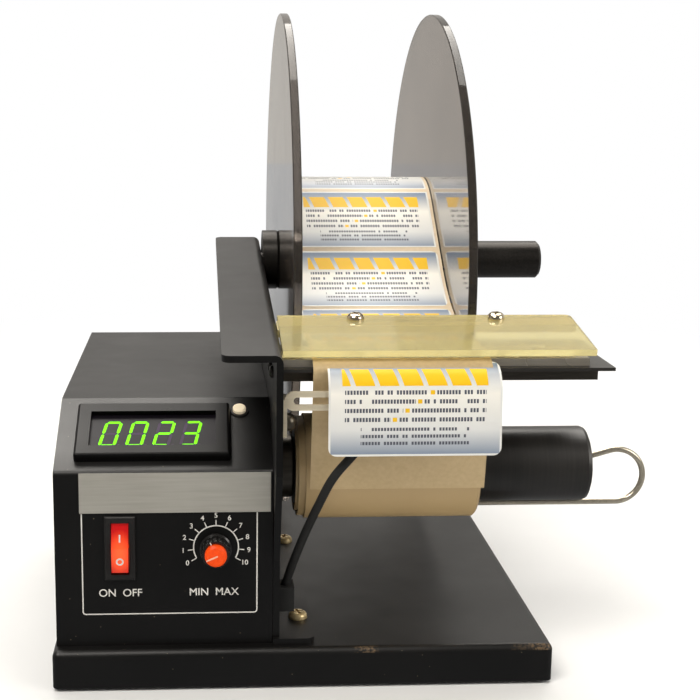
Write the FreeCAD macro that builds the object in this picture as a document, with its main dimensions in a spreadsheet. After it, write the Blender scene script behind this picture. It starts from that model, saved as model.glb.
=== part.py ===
import FreeCAD, Part
import math
import os
import re
import Sketcher

V = FreeCAD.Vector
Turn = FreeCAD.Rotation

# Bench-top label dispenser, in millimetres.
# Origin: on the bench, midway between the outermost points. +X right, +Y to the back, +Z up.
# "Back" sizes are measured from the base's front edge and "height" sizes from the deck.

SIZES = {
    # folded sheet base and its feet
    "base_width": 228.6,
    "base_depth": 254.0,
    "base_lip": 17.5,
    "base_sheet": 2.5,
    "base_bend": 3.2,
    "foot_proud": 1.5,
    "foot_radius": 9.0,
    "foot_taper": 1.6,
    "foot_inset": 24.0,
    # upright side plate with its two folded flanges
    "plate_offset": 99.9,
    "plate_sheet": 3.0,
    "plate_bend": 3.8,
    "plate_toe_back": 7.0,
    "plate_nose_reach": 10.0,
    "plate_toe_height": 40.0,
    "plate_nose_height": 84.0,
    "plate_front_height": 137.8,
    "plate_over_reel": 8.8,
    "plate_rear_back": 240.0,
    "flange_reach": 23.6,
    "sole_reach": 16.0,
    "sole_front_back": 4.5,
    "sole_rear_back": 238.0,
    "sole_screw_reach": 10.0,
    "sole_screw_front_back": 29.6,
    "sole_screw_middle_back": 136.0,
    "sole_screw_rear_back": 222.0,
    # screws: head radius, head height and shank radius of each kind
    "deck_head_radius": 4.6,
    "deck_head_height": 3.2,
    "deck_shank_radius": 2.4,
    "deck_shank_length": 9.0,
    "case_head_radius": 2.9,
    "case_head_height": 1.9,
    "case_shank_radius": 1.5,
    "case_shank_length": 5.0,
    # control housing
    "housing_inset": 1.6,
    "housing_back": 7.0,
    "housing_depth": 215.8,
    "housing_height": 104.9,
    "housing_sheet": 1.5,
    "housing_bend": 2.4,
    "housing_gap": 0.2,
    "panel_foot_height": 81.8,
    "panel_run": 45.4,
    # counter in the sloping panel; "up" sizes run along the slope
    "counter_inset": 8.6,
    "counter_up": 7.0,
    "counter_width": 70.5,
    "counter_height": 36.0,
    "bezel_rise": 4.2,
    "bezel_rim": 6.4,
    "bezel_well": 2.6,
    "bezel_lead": 3.0,
    "counter_wall": 1.5,
    "counter_deep": 24.0,
    "counter_window_sheet": 1.2,
    # reset button
    "reset_inset": 83.8,
    "reset_up": 40.8,
    "reset_radius": 3.1,
    "reset_rise": 2.6,
    "reset_travel": 1.2,
    "reset_collar_radius": 4.6,
    "reset_collar_rise": 0.8,
    "reset_body_radius": 4.2,
    "reset_body_length": 11.0,
    "reset_stem_length": 4.0,
    # name bar, left bare
    "bar_inset": 11.4,
    "bar_width": 85.6,
    "bar_foot_height": 63.0,
    "bar_tall": 18.4,
    "bar_sheet": 0.6,
    # power rocker
    "rocker_inset": 22.3,
    "rocker_foot_height": 31.6,
    "rocker_frame_width": 14.0,
    "rocker_frame_tall": 30.0,
    "rocker_frame_rise": 1.8,
    "rocker_rim": 2.9,
    "rocker_end_rim": 2.9,
    "rocker_end_clear": 0.9,
    "rocker_pin_radius": 1.0,
    "rocker_pin_depth": 1.2,
    "rocker_deep": 24.0,
    "rocker_wall": 0.6,
    "rocker_rise": 3.4,
    "rocker_root": 5.0,
    "rocker_swing": 12.0,
    "rocker_clear": 0.35,
    # position knob
    "knob_inset": 72.2,
    "knob_height": 46.1,
    "knob_gap": 0.8,
    "knob_skirt_radius": 7.3,
    "knob_skirt_tall": 8.5,
    "knob_top_radius": 6.2,
    "knob_cap_radius": 4.9,
    "knob_cap_tall": 3.0,
    "knob_flute_radius": 0.75,
    "knob_shaft_radius": 3.0,
    "pot_bush_radius": 3.8,
    "pot_nut_radius": 5.5,
    "pot_nut_tall": 0.6,
    "pot_radius": 8.2,
    "pot_deep": 9.0,
    # inside the housing
    "bearing_radius": 14.7,
    "bearing_length": 7.3,
    "bearing_spigot_radius": 8.0,
    "gearbox_length": 19.0,
    "gearbox_nose_radius": 13.0,
    "gearbox_tail_radius": 22.5,
    "gearbox_ear_radius": 3.6,
    "motor_back": 55.0,
    "motor_height": 52.0,
    "motor_radius": 18.0,
    "motor_length": 46.0,
    "drive_radius": 4.0,
    "drive_blind": 14.0,
    "drive_reach": 40.0,
    "board_width": 84.0,
    "board_depth": 52.0,
    "board_sheet": 1.6,
    "board_back": 92.0,
    "board_standoff": 8.0,
    "standoff_radius": 3.0,
    "core_width": 46.0,
    "core_depth": 34.0,
    "core_tall": 38.0,
    "winding_width": 30.0,
    "winding_tall": 24.0,
    "core_back": 156.0,
    "inlet_width": 27.5,
    "inlet_tall": 20.0,
    "inlet_deep": 19.0,
    "inlet_rim": 2.6,
    "inlet_rim_rise": 2.2,
    "inlet_inset": 16.0,
    "inlet_foot_height": 22.0,
    "inlet_wall": 2.2,
    "inlet_pin_radius": 1.5,
    "fuse_radius": 6.2,
    "fuse_cap_radius": 7.6,
    "fuse_cap_tall": 5.0,
    "fuse_deep": 22.0,
    "fuse_inset": 66.0,
    "rear_case_inset": 7.0,
    # take-up roller with its wound liner and wire clip
    "takeup_back": 35.0,
    "takeup_height": 76.2,
    "takeup_gap": 0.2,
    "roller_radius": 17.5,
    "roller_length": 138.2,
    "roller_edge": 2.2,
    "roller_bore_radius": 5.2,
    "liner_roll_radius": 24.4,
    "liner_wander": 5.0,
    "wire_radius": 1.4,
    "wire_clear": 0.25,
    "clip_pin_offset": 3.6,
    "clip_pin_length": 42.0,
    "clip_leg_length": 96.0,
    "clip_bow_radius": 12.8,
    "clip_bow_reach": 15.9,
    "clip_neck_reach": 4.0,
    # reel: fixed shaft, two discs and the label roll
    "disc_deck_gap": 12.1,
    "disc_table_gap": 5.7767,
    "disc_radius": 139.7,
    "disc_sheet": 4.3,
    "disc_edge": 0.5,
    "shaft_radius": 11.0,
    "shaft_edge": 1.6,
    "shaft_end_radius": 10.8,
    "shaft_step_gap": 0.2,
    "shaft_spigot_radius": 4.0,
    "running_gap": 0.05,
    "collar_radius": 17.0,
    "collar_length": 8.9,
    "hub_radius": 17.0,
    "hub_length": 25.0,
    "hub_edge": 1.5,
    "shaft_overhang": 39.5,
    "web_width": 79.4,
    "web_side_gap": 0.45,
    "roll_radius": 48.0,
    "core_wall": 3.9,
    "thumb_radius": 7.0,
    "thumb_tall": 9.0,
    "thumb_gap": 0.5,
    "thumb_shank_radius": 2.5,
    "thumb_inset": 8.0,
    "thumb_dip": 30.0,
    "thumb_flute_radius": 1.1,
    # peel table, its bar and the clear parts above it
    "table_width": 148.0,
    "table_back": 1.2,
    "table_depth": 56.3,
    "table_height": 127.9,
    "table_sheet": 1.5,
    "rest_bar_tall": 6.35,
    "rest_bar_depth": 25.4,
    "rest_bar_setback": 11.0,
    "rest_bar_width": 143.5,
    "peel_bar_tall": 3.4,
    "peel_bar_depth": 20.0,
    "peel_bar_setback": 4.8,
    "peel_bar_width": 137.2,
    "clear_side_gap": 0.4,
    "cover_sheet": 3.0,
    "cover_width": 139.5,
    "cover_length": 47.2,
    "cover_lift": 4.9,
    "cover_setback": 2.2,
    "cover_angle": 9.4,
    "cover_corner": 3.0,
    "back_bar_depth": 12.0,
    "back_bar_tall": 3.6,
    "cover_screw_inset": 36.5,
    "cover_screw_setin": 5.2,
    "cover_head_radius": 4.0,
    "cover_head_height": 2.9,
    "cover_shank_radius": 1.9,
    # label web, liner and peeled label
    "web_sheet": 0.3,
    "label_width": 76.2,
    "label_sheet": 0.2,
    "label_shift": 6.2,
    "leave_angle": 38.5,
    "sag_radius": 110.0,
    "fold_radius": 1.5,
    "fold_reach": 0.9,
    "fold_rise": 0.35,
    "label_lap": 1.85,
    "label_lead": 11.9,
    "label_bend": 12.0,
    "label_bottom_reach": 7.9,
    "label_bottom_height": 92.8,
    # sensor bracket, sensor and cable
    "bracket_sheet": 1.5,
    "bracket_tall": 8.5,
    "bracket_height": 112.2,
    "bracket_reach": 4.5,
    "bracket_length": 90.0,
    "slot_tall": 3.3,
    "slot_inset": 4.0,
    "ear_sheet": 2.0,
    "ear_depth": 11.0,
    "ear_drop": 12.0,
    "ear_screw_setin": 5.0,
    "ear_screw_drop": 6.2,
    "ear_head_radius": 4.2,
    "ear_head_height": 4.4,
    "sensor_width": 24.0,
    "sensor_depth": 4.7,
    "sensor_tall": 20.0,
    "sensor_inset": 56.0,
    "sensor_screw_radius": 1.4,
    "sensor_head_radius": 2.8,
    "sensor_head_height": 1.3,
    "lens_radius": 1.9,
    "lens_rise": 0.4,
    "cable_radius": 2.0,
    "cable_exit_height": 4.0,
    "boot_back": 14.6,
    "boot_height": 12.0,
    "boot_reach": 7.2,
    "boot_depth": 11.0,
    "boot_tall": 11.5,
    "boot_neck_radius": 3.4,
    # one overrun serves all cuts
    "cut_over": 4.0,
}

DERIVED = {
    "reel_height": "disc_radius + disc_deck_gap",
    "plate_rear_height": "reel_height + plate_over_reel",
    "table_gap_height": "reel_height - table_height",
    "reel_back": "table_back + table_depth + sqrt((disc_radius + disc_table_gap) ^ 2 - table_gap_height ^ 2)",
    "front_y": "-(reel_back + disc_radius - plate_nose_reach) / 2",
    "left_x": "-(plate_offset + plate_sheet + bearing_length + takeup_gap + roller_length"
              " + clip_bow_reach + clip_bow_radius + wire_radius) / 2",
    "right_x": "left_x + base_width",
    "rear_y": "front_y + base_depth",
    "deck_z": "foot_proud + base_lip",
    "plate_x": "left_x + plate_offset",
    "face_x": "plate_x + plate_sheet",
    "sole_screw_x": "face_x + sole_screw_reach",
    "plate_slope": "atan((plate_rear_height - plate_front_height) / (plate_rear_back + plate_nose_reach))",
    "flange_drop": "plate_sheet / cos(plate_slope)",
    "housing_x": "left_x + housing_inset",
    "housing_y": "front_y + housing_back",
    "housing_wide": "plate_x - housing_gap - housing_x",
    "housing_top_z": "deck_z + housing_height",
    "housing_rear_y": "housing_y + housing_depth",
    "panel_y": "housing_y",
    "panel_z": "deck_z + panel_foot_height",
    "panel_rise": "housing_height - panel_foot_height",
    "panel_angle": "atan(panel_rise / panel_run)",
    "panel_thick": "housing_sheet / cos(panel_angle)",
    "panel_inner_z": "panel_z + housing_sheet * tan(panel_angle) - panel_thick",
    "panel_inner_y": "housing_y + (panel_rise - housing_sheet + panel_thick) / tan(panel_angle)",
    "counter_x": "housing_x + counter_inset",
    "reset_x": "housing_x + reset_inset",
    "bar_x": "housing_x + bar_inset",
    "rocker_x": "housing_x + rocker_inset",
    "rocker_z": "deck_z + rocker_foot_height",
    "rocker_mid_x": "rocker_x + rocker_frame_width / 2",
    "rocker_mid_z": "rocker_z + rocker_frame_tall / 2",
    "rocker_half": "rocker_frame_tall / 2 - rocker_end_rim - rocker_end_clear",
    "rocker_wide": "rocker_frame_width - 2 * rocker_rim - 2 * rocker_clear",
    "rocker_pivot_y": "housing_y + rocker_root / 2",
    "rocker_pin_x": "rocker_x + rocker_rim - rocker_pin_depth",
    "rocker_pin_span": "rocker_frame_width - 2 * rocker_rim + 2 * rocker_pin_depth",
    "knob_x": "housing_x + knob_inset",
    "knob_z": "deck_z + knob_height",
    "core_bore_radius": "shaft_radius + running_gap",
    "takeup_y": "front_y + takeup_back",
    "takeup_z": "deck_z + takeup_height",
    "motor_y": "front_y + motor_back",
    "motor_z": "deck_z + motor_height",
    "gearbox_x": "plate_x - gearbox_length",
    "roller_x": "face_x + bearing_length + takeup_gap",
    "roller_end_x": "roller_x + roller_length",
    "wire_hole_radius": "wire_radius + wire_clear",
    "clip_leg_drop": "roller_radius + wire_radius + wire_clear",
    "reel_y": "front_y + reel_back",
    "reel_z": "deck_z + reel_height",
    "inner_disc_x": "face_x + collar_length",
    "web_x": "inner_disc_x + disc_sheet + web_side_gap",
    "outer_disc_x": "web_x + web_width + web_side_gap",
    "hub_x": "outer_disc_x + disc_sheet",
    "shaft_end_x": "hub_x + hub_length + shaft_overhang",
    "thumb_x": "hub_x + hub_length - thumb_inset",
    "table_y": "front_y + table_back",
    "table_z": "deck_z + table_height",
    "table_top_z": "table_z + table_sheet",
    "peel_top_z": "table_top_z + peel_bar_tall",
    "clear_x": "face_x + clear_side_gap",
    "cover_y": "table_y + cover_setback",
    "cover_z": "table_top_z + cover_lift",
    "web_z": "peel_top_z + web_sheet / 2",
    "web_gap": "web_sheet",
    "leave_y": "reel_y - (roll_radius + web_gap) * sin(leave_angle)",
    "leave_z": "reel_z + (roll_radius + web_gap) * cos(leave_angle)",
    "sag_rise": "sag_radius * (1 - cos(leave_angle))",
    "web_straight": "(leave_z - web_z - sag_rise) / sin(leave_angle)",
    "sag_y": "leave_y - web_straight * cos(leave_angle) - sag_radius * sin(leave_angle)",
    "bracket_y": "front_y - bracket_reach",
    "bracket_z": "deck_z + bracket_height",
    "bracket_x": "face_x + plate_sheet / 4",
    "sensor_x": "face_x + sensor_inset",
    "sensor_y": "bracket_y + bracket_sheet",
    "slot_mid_z": "bracket_z + bracket_tall / 2",
    "sensor_z": "bracket_z + bracket_tall - sensor_tall",
    "ear_screw_y": "bracket_y + ear_screw_setin",
    "ear_screw_z": "bracket_z - ear_screw_drop",
}

# Cable route below the sensor, chosen by hand: distance right of the side plate,
# distance behind the base's front edge, and height over the deck.
CABLE_ROUTE = [
    (42.5, -2.0, 104.7),
    (32.6, -2.2, 92.6),
    (22.6, -0.8, 81.0),
    (17.2, 3.8, 67.2),
    (12.5, 9.0, 54.4),
    (8.6, 13.2, 42.4),
    (5.4, 17.0, 31.4),
    (2.7, 20.6, 20.6),
]

doc = FreeCAD.newDocument("label_dispenser")
sizes = doc.addObject("Spreadsheet::Sheet", "Sizes")


def fill_sheet():
    """Write every driving size, then every worked-out one, each under its own alias."""
    rows = [(name, "%.6g" % number) for name, number in SIZES.items()]
    rows += [(name, "=" + formula) for name, formula in DERIVED.items()]
    for row, (name, text) in enumerate(rows, start=1):
        sizes.set("A%d" % row, name)
        sizes.set("B%d" % row, text)
        sizes.setAlias("B%d" % row, name)
    doc.recompute()


def bind(text):
    """Turn the sheet's aliases in a formula into references to the sheet."""
    return re.sub(r"\b([a-z]+(?:_[a-z]+)+)\b", r"Sizes.\1", text)


def value(text):
    """Work out a formula over the sheet's aliases as a plain number."""
    result = sizes.evalExpression(bind(text))
    return float(getattr(result, "Value", result))


def link(thing, prop, text):
    """Bind one property of an object to a formula over the sheet."""
    thing.setExpression(prop, bind(text))


# A turned piece is made about +X, and these turns point that axis elsewhere.
POINTING = {
    "+X": Turn(),
    "-X": Turn(V(0, 0, 1), 180),
    "+Y": Turn(V(0, 0, 1), 90),
    "-Y": Turn(V(0, 0, 1), -90),
    "+Z": Turn(V(0, 1, 0), -90),
    "-Z": Turn(V(0, 1, 0), 90),
}
LEVEL = ("0", "0", "0")
PANEL = ("panel_y", "panel_z", "panel_angle")
COVER = ("cover_y", "cover_z", "cover_angle")


def seat(thing, place, frame=LEVEL, turn=None):
    """Place an object at (x, y, z), or at (x, up, out) on a sloping frame."""
    across, along, out = place
    origin_y, origin_z, angle = frame
    slope = Turn(V(1, 0, 0), value(angle))
    thing.Placement = FreeCAD.Placement(V(), slope.multiply(turn) if turn else slope)
    link(thing, "Placement.Base.x", across)
    if frame is LEVEL:
        link(thing, "Placement.Base.y", along)
        link(thing, "Placement.Base.z", out)
        return thing
    link(thing, "Placement.Base.y", "%s + (%s) * cos(%s) - (%s) * sin(%s)" % (origin_y, along, angle, out, angle))
    link(thing, "Placement.Base.z", "%s + (%s) * sin(%s) + (%s) * cos(%s)" % (origin_z, along, angle, out, angle))
    return thing


def block(name, place, spans, frame=LEVEL):
    """Box with its lowest corner at place."""
    box = doc.addObject("Part::Box", name)
    for prop, span in zip(("Length", "Width", "Height"), spans):
        link(box, prop, span)
    return seat(box, place, frame)


def rod(name, place, radius, length, pointing, frame=LEVEL):
    """Cylinder that starts at place and runs the way it points."""
    bar = doc.addObject("Part::Cylinder", name)
    link(bar, "Radius", radius)
    link(bar, "Height", length)
    upright = Turn(V(0, 1, 0), 90)
    return seat(bar, place, frame, POINTING[pointing].multiply(upright))


def sketch(body, role, corners, lift=None):
    """Closed outline on one of the body's origin planes, each corner bound to the sheet."""
    plane = [item for item in body.Origin.OriginFeatures if item.Role == role][0]
    drawing = body.newObject("Sketcher::SketchObject", body.Name + "_outline")
    drawing.AttachmentSupport = (plane, [""])
    drawing.MapMode = "FlatFace"
    if lift:
        link(drawing, "AttachmentOffset.Base.z", lift)
    spots = [V(value(across), value(up), 0) for across, up in corners]
    count = len(spots)
    for index in range(count):
        drawing.addGeometry(Part.LineSegment(spots[index], spots[(index + 1) % count]), False)
    for index in range(count):
        drawing.addConstraint(Sketcher.Constraint("Coincident", index, 2, (index + 1) % count, 1))
    for index, (across, up) in enumerate(corners):
        for letter, text, number in (("X", across, spots[index].x), ("Y", up, spots[index].y)):
            rule = Sketcher.Constraint("Distance" + letter, -1, 1, index, 1, number)
            label = "corner%d%s" % (index, letter)
            drawing.renameConstraint(drawing.addConstraint(rule), label)
            link(drawing, "Constraints." + label, text)
    return drawing


def slab(name, role, corners, length, place=("0", "0", "0"), frame=LEVEL):
    """Straight extrusion of an outline off an origin plane."""
    body = doc.addObject("PartDesign::Body", name)
    pad = body.newObject("PartDesign::Pad", name + "_pad")
    pad.Profile = sketch(body, role, corners)
    body.Tip = pad
    link(pad, "Length", length)
    if role == "XZ_Plane":
        pad.Reversed = True
    return seat(body, place, frame)


def turned(name, outline, place, pointing="+X", frame=LEVEL):
    """Solid of revolution; the outline's points are (along the axis, radius)."""
    body = doc.addObject("PartDesign::Body", name)
    spun = body.newObject("PartDesign::Revolution", name + "_turn")
    drawing = sketch(body, "XY_Plane", outline)
    spun.Profile = drawing
    spun.ReferenceAxis = (drawing, ["H_Axis"])
    spun.Angle = 360
    body.Tip = spun
    return seat(body, place, frame, POINTING[pointing])


def rounded(body, radius, wanted):
    """Fillet the edges of a body that the test picks, in the body's own axes."""
    doc.recompute()
    base = body.Tip
    names = ["Edge%d" % (n + 1) for n, edge in enumerate(base.Shape.Edges) if wanted(edge)]
    if not names:
        raise RuntimeError("no edge to round on " + body.Name)
    fillet = body.newObject("PartDesign::Fillet", body.Name + "_round")
    fillet.Base = (base, names)
    link(fillet, "Radius", radius)
    body.Tip = fillet
    return body


def runs_along(edge, letter):
    """Tell whether an edge is straight and parallel to the axis named."""
    if not isinstance(edge.Curve, Part.Line):
        return False
    return abs(getattr(edge.Curve.Direction, letter)) > 1 - 1e-6


def middle(edge):
    """Point halfway along an edge."""
    return edge.valueAt((edge.FirstParameter + edge.LastParameter) / 2)


def cut(name, base, *tools):
    """Base with the tools taken away."""
    tool = tools[0]
    if len(tools) > 1:
        tool = doc.addObject("Part::MultiFuse", name + "_tools")
        tool.Shapes = list(tools)
    result = doc.addObject("Part::Cut", name)
    result.Base = base
    result.Tool = tool
    return result


def joined(name, *parts):
    """One solid out of touching or overlapping ones."""
    result = doc.addObject("Part::MultiFuse", name)
    result.Shapes = list(parts)
    result.Refine = True
    return result


def group(name, *parts):
    """Separate solids that share a node."""
    result = doc.addObject("Part::Compound", name)
    result.Links = list(parts)
    return result


nodes = {}


def keep(name, thing):
    """Register a finished sub-part under the name of its node."""
    thing.Label = name
    nodes[name] = thing
    return thing


HEAD_DOME_SHARES = ((0.0, 1.0), (0.45, 1.0), (0.8, 0.78), (1.0, 0.42))


def screw(name, place, sizes_of, pointing, frame=LEVEL, length=None):
    """Pan-head screw; its head points the way named and its shank runs back from place."""
    head_radius, head_height = sizes_of + "_head_radius", sizes_of + "_head_height"
    shank_radius = sizes_of + "_shank_radius"
    shank = length or sizes_of + "_shank_length"
    outline = [("-(%s)" % shank, "0"), ("-(%s)" % shank, shank_radius), ("0", shank_radius)]
    for high, wide in HEAD_DOME_SHARES:
        outline.append(("%s * %g" % (head_height, high), "%s * %g" % (head_radius, wide)))
    outline.append((head_height, "0"))
    return turned(name, outline, place, pointing, frame)


def route_wire(points, radius_of):
    """Wire of straight runs joined by tangent arcs through a list of points."""
    edges = []
    start = points[0]
    for before, corner, after in zip(points, points[1:], points[2:]):
        inward = (before - corner).normalize()
        onward = (after - corner).normalize()
        half = (math.pi - inward.getAngle(onward)) / 2
        radius = radius_of((corner - before).Length, (after - corner).Length, half)
        setback = radius * math.tan(half)
        first, last = corner + inward * setback, corner + onward * setback
        centre = corner + (inward + onward).normalize() * (radius / math.cos(half))
        crown = centre + (corner - centre).normalize() * radius
        edges.append(Part.LineSegment(start, first).toShape())
        edges.append(Part.Arc(first, crown, last).toShape())
        start = last
    edges.append(Part.LineSegment(start, points[-1]).toShape())
    return Part.Wire(edges)


def beside(edges, shift):
    """Edges of a path in the YZ plane, moved sideways by a distance."""
    moved = []
    for edge in edges:
        first, last = edge.FirstParameter, edge.LastParameter
        spots = [
            edge.valueAt(at) + V(1, 0, 0).cross(edge.tangentAt(at)) * shift
            for at in (first, (first + last) / 2, last)
        ]
        straight = isinstance(edge.Curve, Part.Line)
        moved.append(Part.makeLine(spots[0], spots[2]) if straight else Part.Arc(*spots).toShape())
    return moved


def thin_strip(name, points, radii, sheet, across, width):
    """Sheet that follows bends in the YZ plane, as wide as it says along X."""
    bends = iter(radii)
    path = route_wire(points, lambda before, after, half: next(bends))
    shift = value(sheet) / 2
    upper, lower = beside(path.Edges, shift), beside(path.Edges, -shift)
    start = Part.makeLine(upper[0].Vertexes[0].Point, lower[0].Vertexes[0].Point)
    end = Part.makeLine(upper[-1].Vertexes[-1].Point, lower[-1].Vertexes[-1].Point)
    loop = Part.Wire(Part.__sortEdges__(upper + [end] + lower + [start]))
    solid = Part.Face(loop).extrude(V(value(width), 0, 0))
    solid.translate(V(value(across), 0, 0))
    print(name, "flat length", round(path.Length, 2))
    piece = doc.addObject("Part::Feature", name)
    piece.Shape = solid
    return piece


def side_point(back, high):
    """Point in the YZ plane from two formulas."""
    return V(0, value(back), value(high))


def build_base():
    """Folded tray with its lip all round, and four tapered rubber feet inside it."""
    corners = [("left_x", "front_y"), ("right_x", "front_y"), ("right_x", "rear_y"), ("left_x", "rear_y")]
    tray = slab("tray", "XY_Plane", corners, "base_lip", ("0", "0", "foot_proud"))
    top = value("base_lip")
    rounded(tray, "base_bend", lambda edge: abs(middle(edge).z - top) < 1e-6 or runs_along(edge, "z"))
    hollow = block(
        "tray_hollow",
        ("left_x + base_sheet", "front_y + base_sheet", "foot_proud - cut_over"),
        ("base_width - 2 * base_sheet", "base_depth - 2 * base_sheet", "base_lip - base_sheet + cut_over"),
    )
    holes = [
        rod("deck_hole", ("sole_screw_x", "front_y + " + back, "deck_z - base_sheet - cut_over"),
            "deck_shank_radius", "base_sheet + 2 * cut_over", "+Z")
        for back in SOLE_SCREWS
    ]
    keep("base_plate", cut("base_plate", tray, hollow, *holes))
    feet = []
    for across in ("left_x + foot_inset", "right_x - foot_inset"):
        for along in ("front_y + foot_inset", "rear_y - foot_inset"):
            outline = [
                ("0", "0"), ("0", "foot_radius - foot_taper"),
                ("deck_z - base_sheet", "foot_radius"), ("deck_z - base_sheet", "0"),
            ]
            feet.append(turned("foot", outline, (across, along, "0"), "+Z"))
    keep("rubber_feet", group("rubber_feet", *feet))


SOLE_SCREWS = ("sole_screw_front_back", "sole_screw_middle_back", "sole_screw_rear_back")


def build_side_plate():
    """Upright plate with a rising top flange to the left and a sole flange to the right."""
    top_front = "deck_z + plate_front_height"
    top_rear = "deck_z + plate_rear_height"
    nose, rear = "front_y - plate_nose_reach", "front_y + plate_rear_back"
    web = slab("plate_web", "YZ_Plane", [
        ("front_y + plate_toe_back", "deck_z"),
        ("front_y + plate_toe_back", "deck_z + plate_toe_height"),
        (nose, "deck_z + plate_nose_height"),
        (nose, top_front),
        (rear, top_rear),
        (rear, "deck_z"),
    ], "plate_sheet", ("plate_x", "0", "0"))
    flange = slab("plate_flange", "YZ_Plane", [
        (nose, top_front + " - flange_drop"),
        (nose, top_front),
        (rear, top_rear),
        (rear, top_rear + " - flange_drop"),
    ], "flange_reach + plate_sheet", ("plate_x - flange_reach", "0", "0"))
    sole = block("plate_sole", ("plate_x", "front_y + sole_front_back", "deck_z"),
                 ("plate_sheet + sole_reach", "sole_rear_back - sole_front_back", "plate_sheet"))
    folded = joined("plate_folded", web, flange, sole)
    doc.recompute()
    right, left, sole_end = value("face_x"), value("plate_x - flange_reach"), value("face_x + sole_reach")
    bend, slope = value("plate_bend"), value("plate_slope")
    edges = []
    for number, edge in enumerate(folded.Shape.Edges, start=1):
        spot = middle(edge)
        rising = abs(spot.x - right) < 1e-6 and spot.z > value(top_front)
        if rising and isinstance(edge.Curve, Part.Line) and abs(edge.Curve.Direction.y) > math.cos(2 * math.radians(slope)):
            edges.append((number, bend, bend))
        tip = abs(abs(spot.x - left)) < 1e-6 or abs(spot.x - sole_end) < 1e-6
        if tip and isinstance(edge.Curve, Part.Line) and abs(edge.Curve.Direction.z) > 0.9:
            edges.append((number, bend, bend))
    soft = doc.addObject("Part::Fillet", "plate_bent")
    soft.Base = folded
    soft.Edges = edges
    holes = [
        rod("sole_hole", ("sole_screw_x", "front_y + " + back, "deck_z - cut_over"),
            "deck_shank_radius", "plate_sheet + 2 * cut_over", "+Z")
        for back in SOLE_SCREWS
    ]
    holes.append(rod("bearing_hole", ("plate_x - cut_over", "takeup_y", "takeup_z"),
                     "bearing_spigot_radius", "plate_sheet + 2 * cut_over", "+X"))
    holes.append(rod("shaft_hole", ("plate_x - cut_over", "reel_y", "reel_z"),
                     "shaft_spigot_radius", "plate_sheet + 2 * cut_over", "+X"))
    holes.append(rod("boot_hole", ("plate_x - cut_over", BOOT_Y, BOOT_Z),
                     "boot_neck_radius", "plate_sheet + 2 * cut_over", "+X"))
    holes.append(rod("ear_hole", ("plate_x - cut_over", "ear_screw_y", "ear_screw_z"),
                     "case_shank_radius", "plate_sheet + 2 * cut_over", "+X"))
    for along in REST_BAR_SCREWS:
        holes.append(rod("rest_bar_hole", ("plate_x - cut_over", along, REST_BAR_MIDDLE),
                         "case_shank_radius", "plate_sheet + 2 * cut_over", "+X"))
    keep("side_plate", cut("side_plate", soft, *holes))
    screws = [
        screw("sole_screw", ("sole_screw_x", "front_y + " + back, "deck_z + plate_sheet"), "deck", "+Z")
        for back in SOLE_SCREWS
    ]
    keep("side_plate_screws", group("side_plate_screws", *screws))


BOOT_Y = "front_y + boot_back + boot_depth / 2"
BOOT_Z = "deck_z + boot_height + boot_tall / 2"
REST_BAR_Y = "table_y + rest_bar_setback"
REST_BAR_SCREWS = (REST_BAR_Y + " + rest_bar_depth / 4", REST_BAR_Y + " + rest_bar_depth * 3 / 4")
REST_BAR_MIDDLE = "table_z - rest_bar_tall / 2"


def build_housing():
    """Folded housing, open to the plate and below, with its rear panel and its screws."""
    outer = slab("housing_outer", "YZ_Plane", [
        ("housing_y", "deck_z"),
        ("housing_y", "panel_z"),
        ("housing_y + panel_run", "housing_top_z"),
        ("housing_rear_y", "housing_top_z"),
        ("housing_rear_y", "deck_z"),
    ], "housing_wide", ("housing_x", "0", "0"))
    knee, shoulder = value("panel_z"), value("housing_y + panel_run")

    def bend_line(edge):
        """Pick the two bends across the front and the top's left edge."""
        spot = middle(edge)
        across = runs_along(edge, "x") and (
            abs(spot.z - knee) < 1e-6 or abs(spot.y - shoulder) < 1e-6)
        return across

    rounded(outer, "housing_bend", bend_line)
    inner = slab("housing_inner", "YZ_Plane", [
        ("housing_y + housing_sheet", "deck_z - cut_over"),
        ("housing_y + housing_sheet", "panel_inner_z"),
        ("panel_inner_y", "housing_top_z - housing_sheet"),
        ("housing_rear_y + cut_over", "housing_top_z - housing_sheet"),
        ("housing_rear_y + cut_over", "deck_z - cut_over"),
    ], "housing_wide", ("housing_x + housing_sheet", "0", "0"))
    counter_hole = block("counter_hole", (
        "counter_x + bezel_lead", "counter_up + bezel_lead", "-cut_over"),
        ("counter_width - 2 * bezel_lead", "counter_height - 2 * bezel_lead", "2 * cut_over"), PANEL)
    reset_hole = rod("reset_hole", ("reset_x", "reset_up", "-cut_over"),
                     "reset_body_radius", "2 * cut_over", "+Z", PANEL)
    rocker_hole = block("rocker_hole", (
        "rocker_x + rocker_wall", "housing_y - cut_over", "rocker_z + rocker_wall"),
        ("rocker_frame_width - 2 * rocker_wall", "2 * cut_over", "rocker_frame_tall - 2 * rocker_wall"))
    knob_hole = rod("knob_hole", ("knob_x", "housing_y - cut_over", "knob_z"),
                    "pot_bush_radius", "2 * cut_over", "+Y")
    side_holes = [
        rod("case_hole", ("housing_x - cut_over", along, high), "case_shank_radius", "2 * cut_over", "+X")
        for along, high in CASE_SCREWS
    ]
    keep("control_housing", cut("control_housing", outer, inner, counter_hole, reset_hole,
                                rocker_hole, knob_hole, *side_holes))
    screws = [
        screw("case_screw", ("housing_x", along, high), "case", "-X")
        for along, high in CASE_SCREWS
    ]
    keep("housing_screws", group("housing_screws", *(screws + build_rear_panel())))


CASE_SCREWS = (
    ("housing_y + housing_depth / 8", "deck_z + base_lip / 2"),
    ("housing_rear_y - housing_depth / 8", "deck_z + base_lip / 2"),
)


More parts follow.
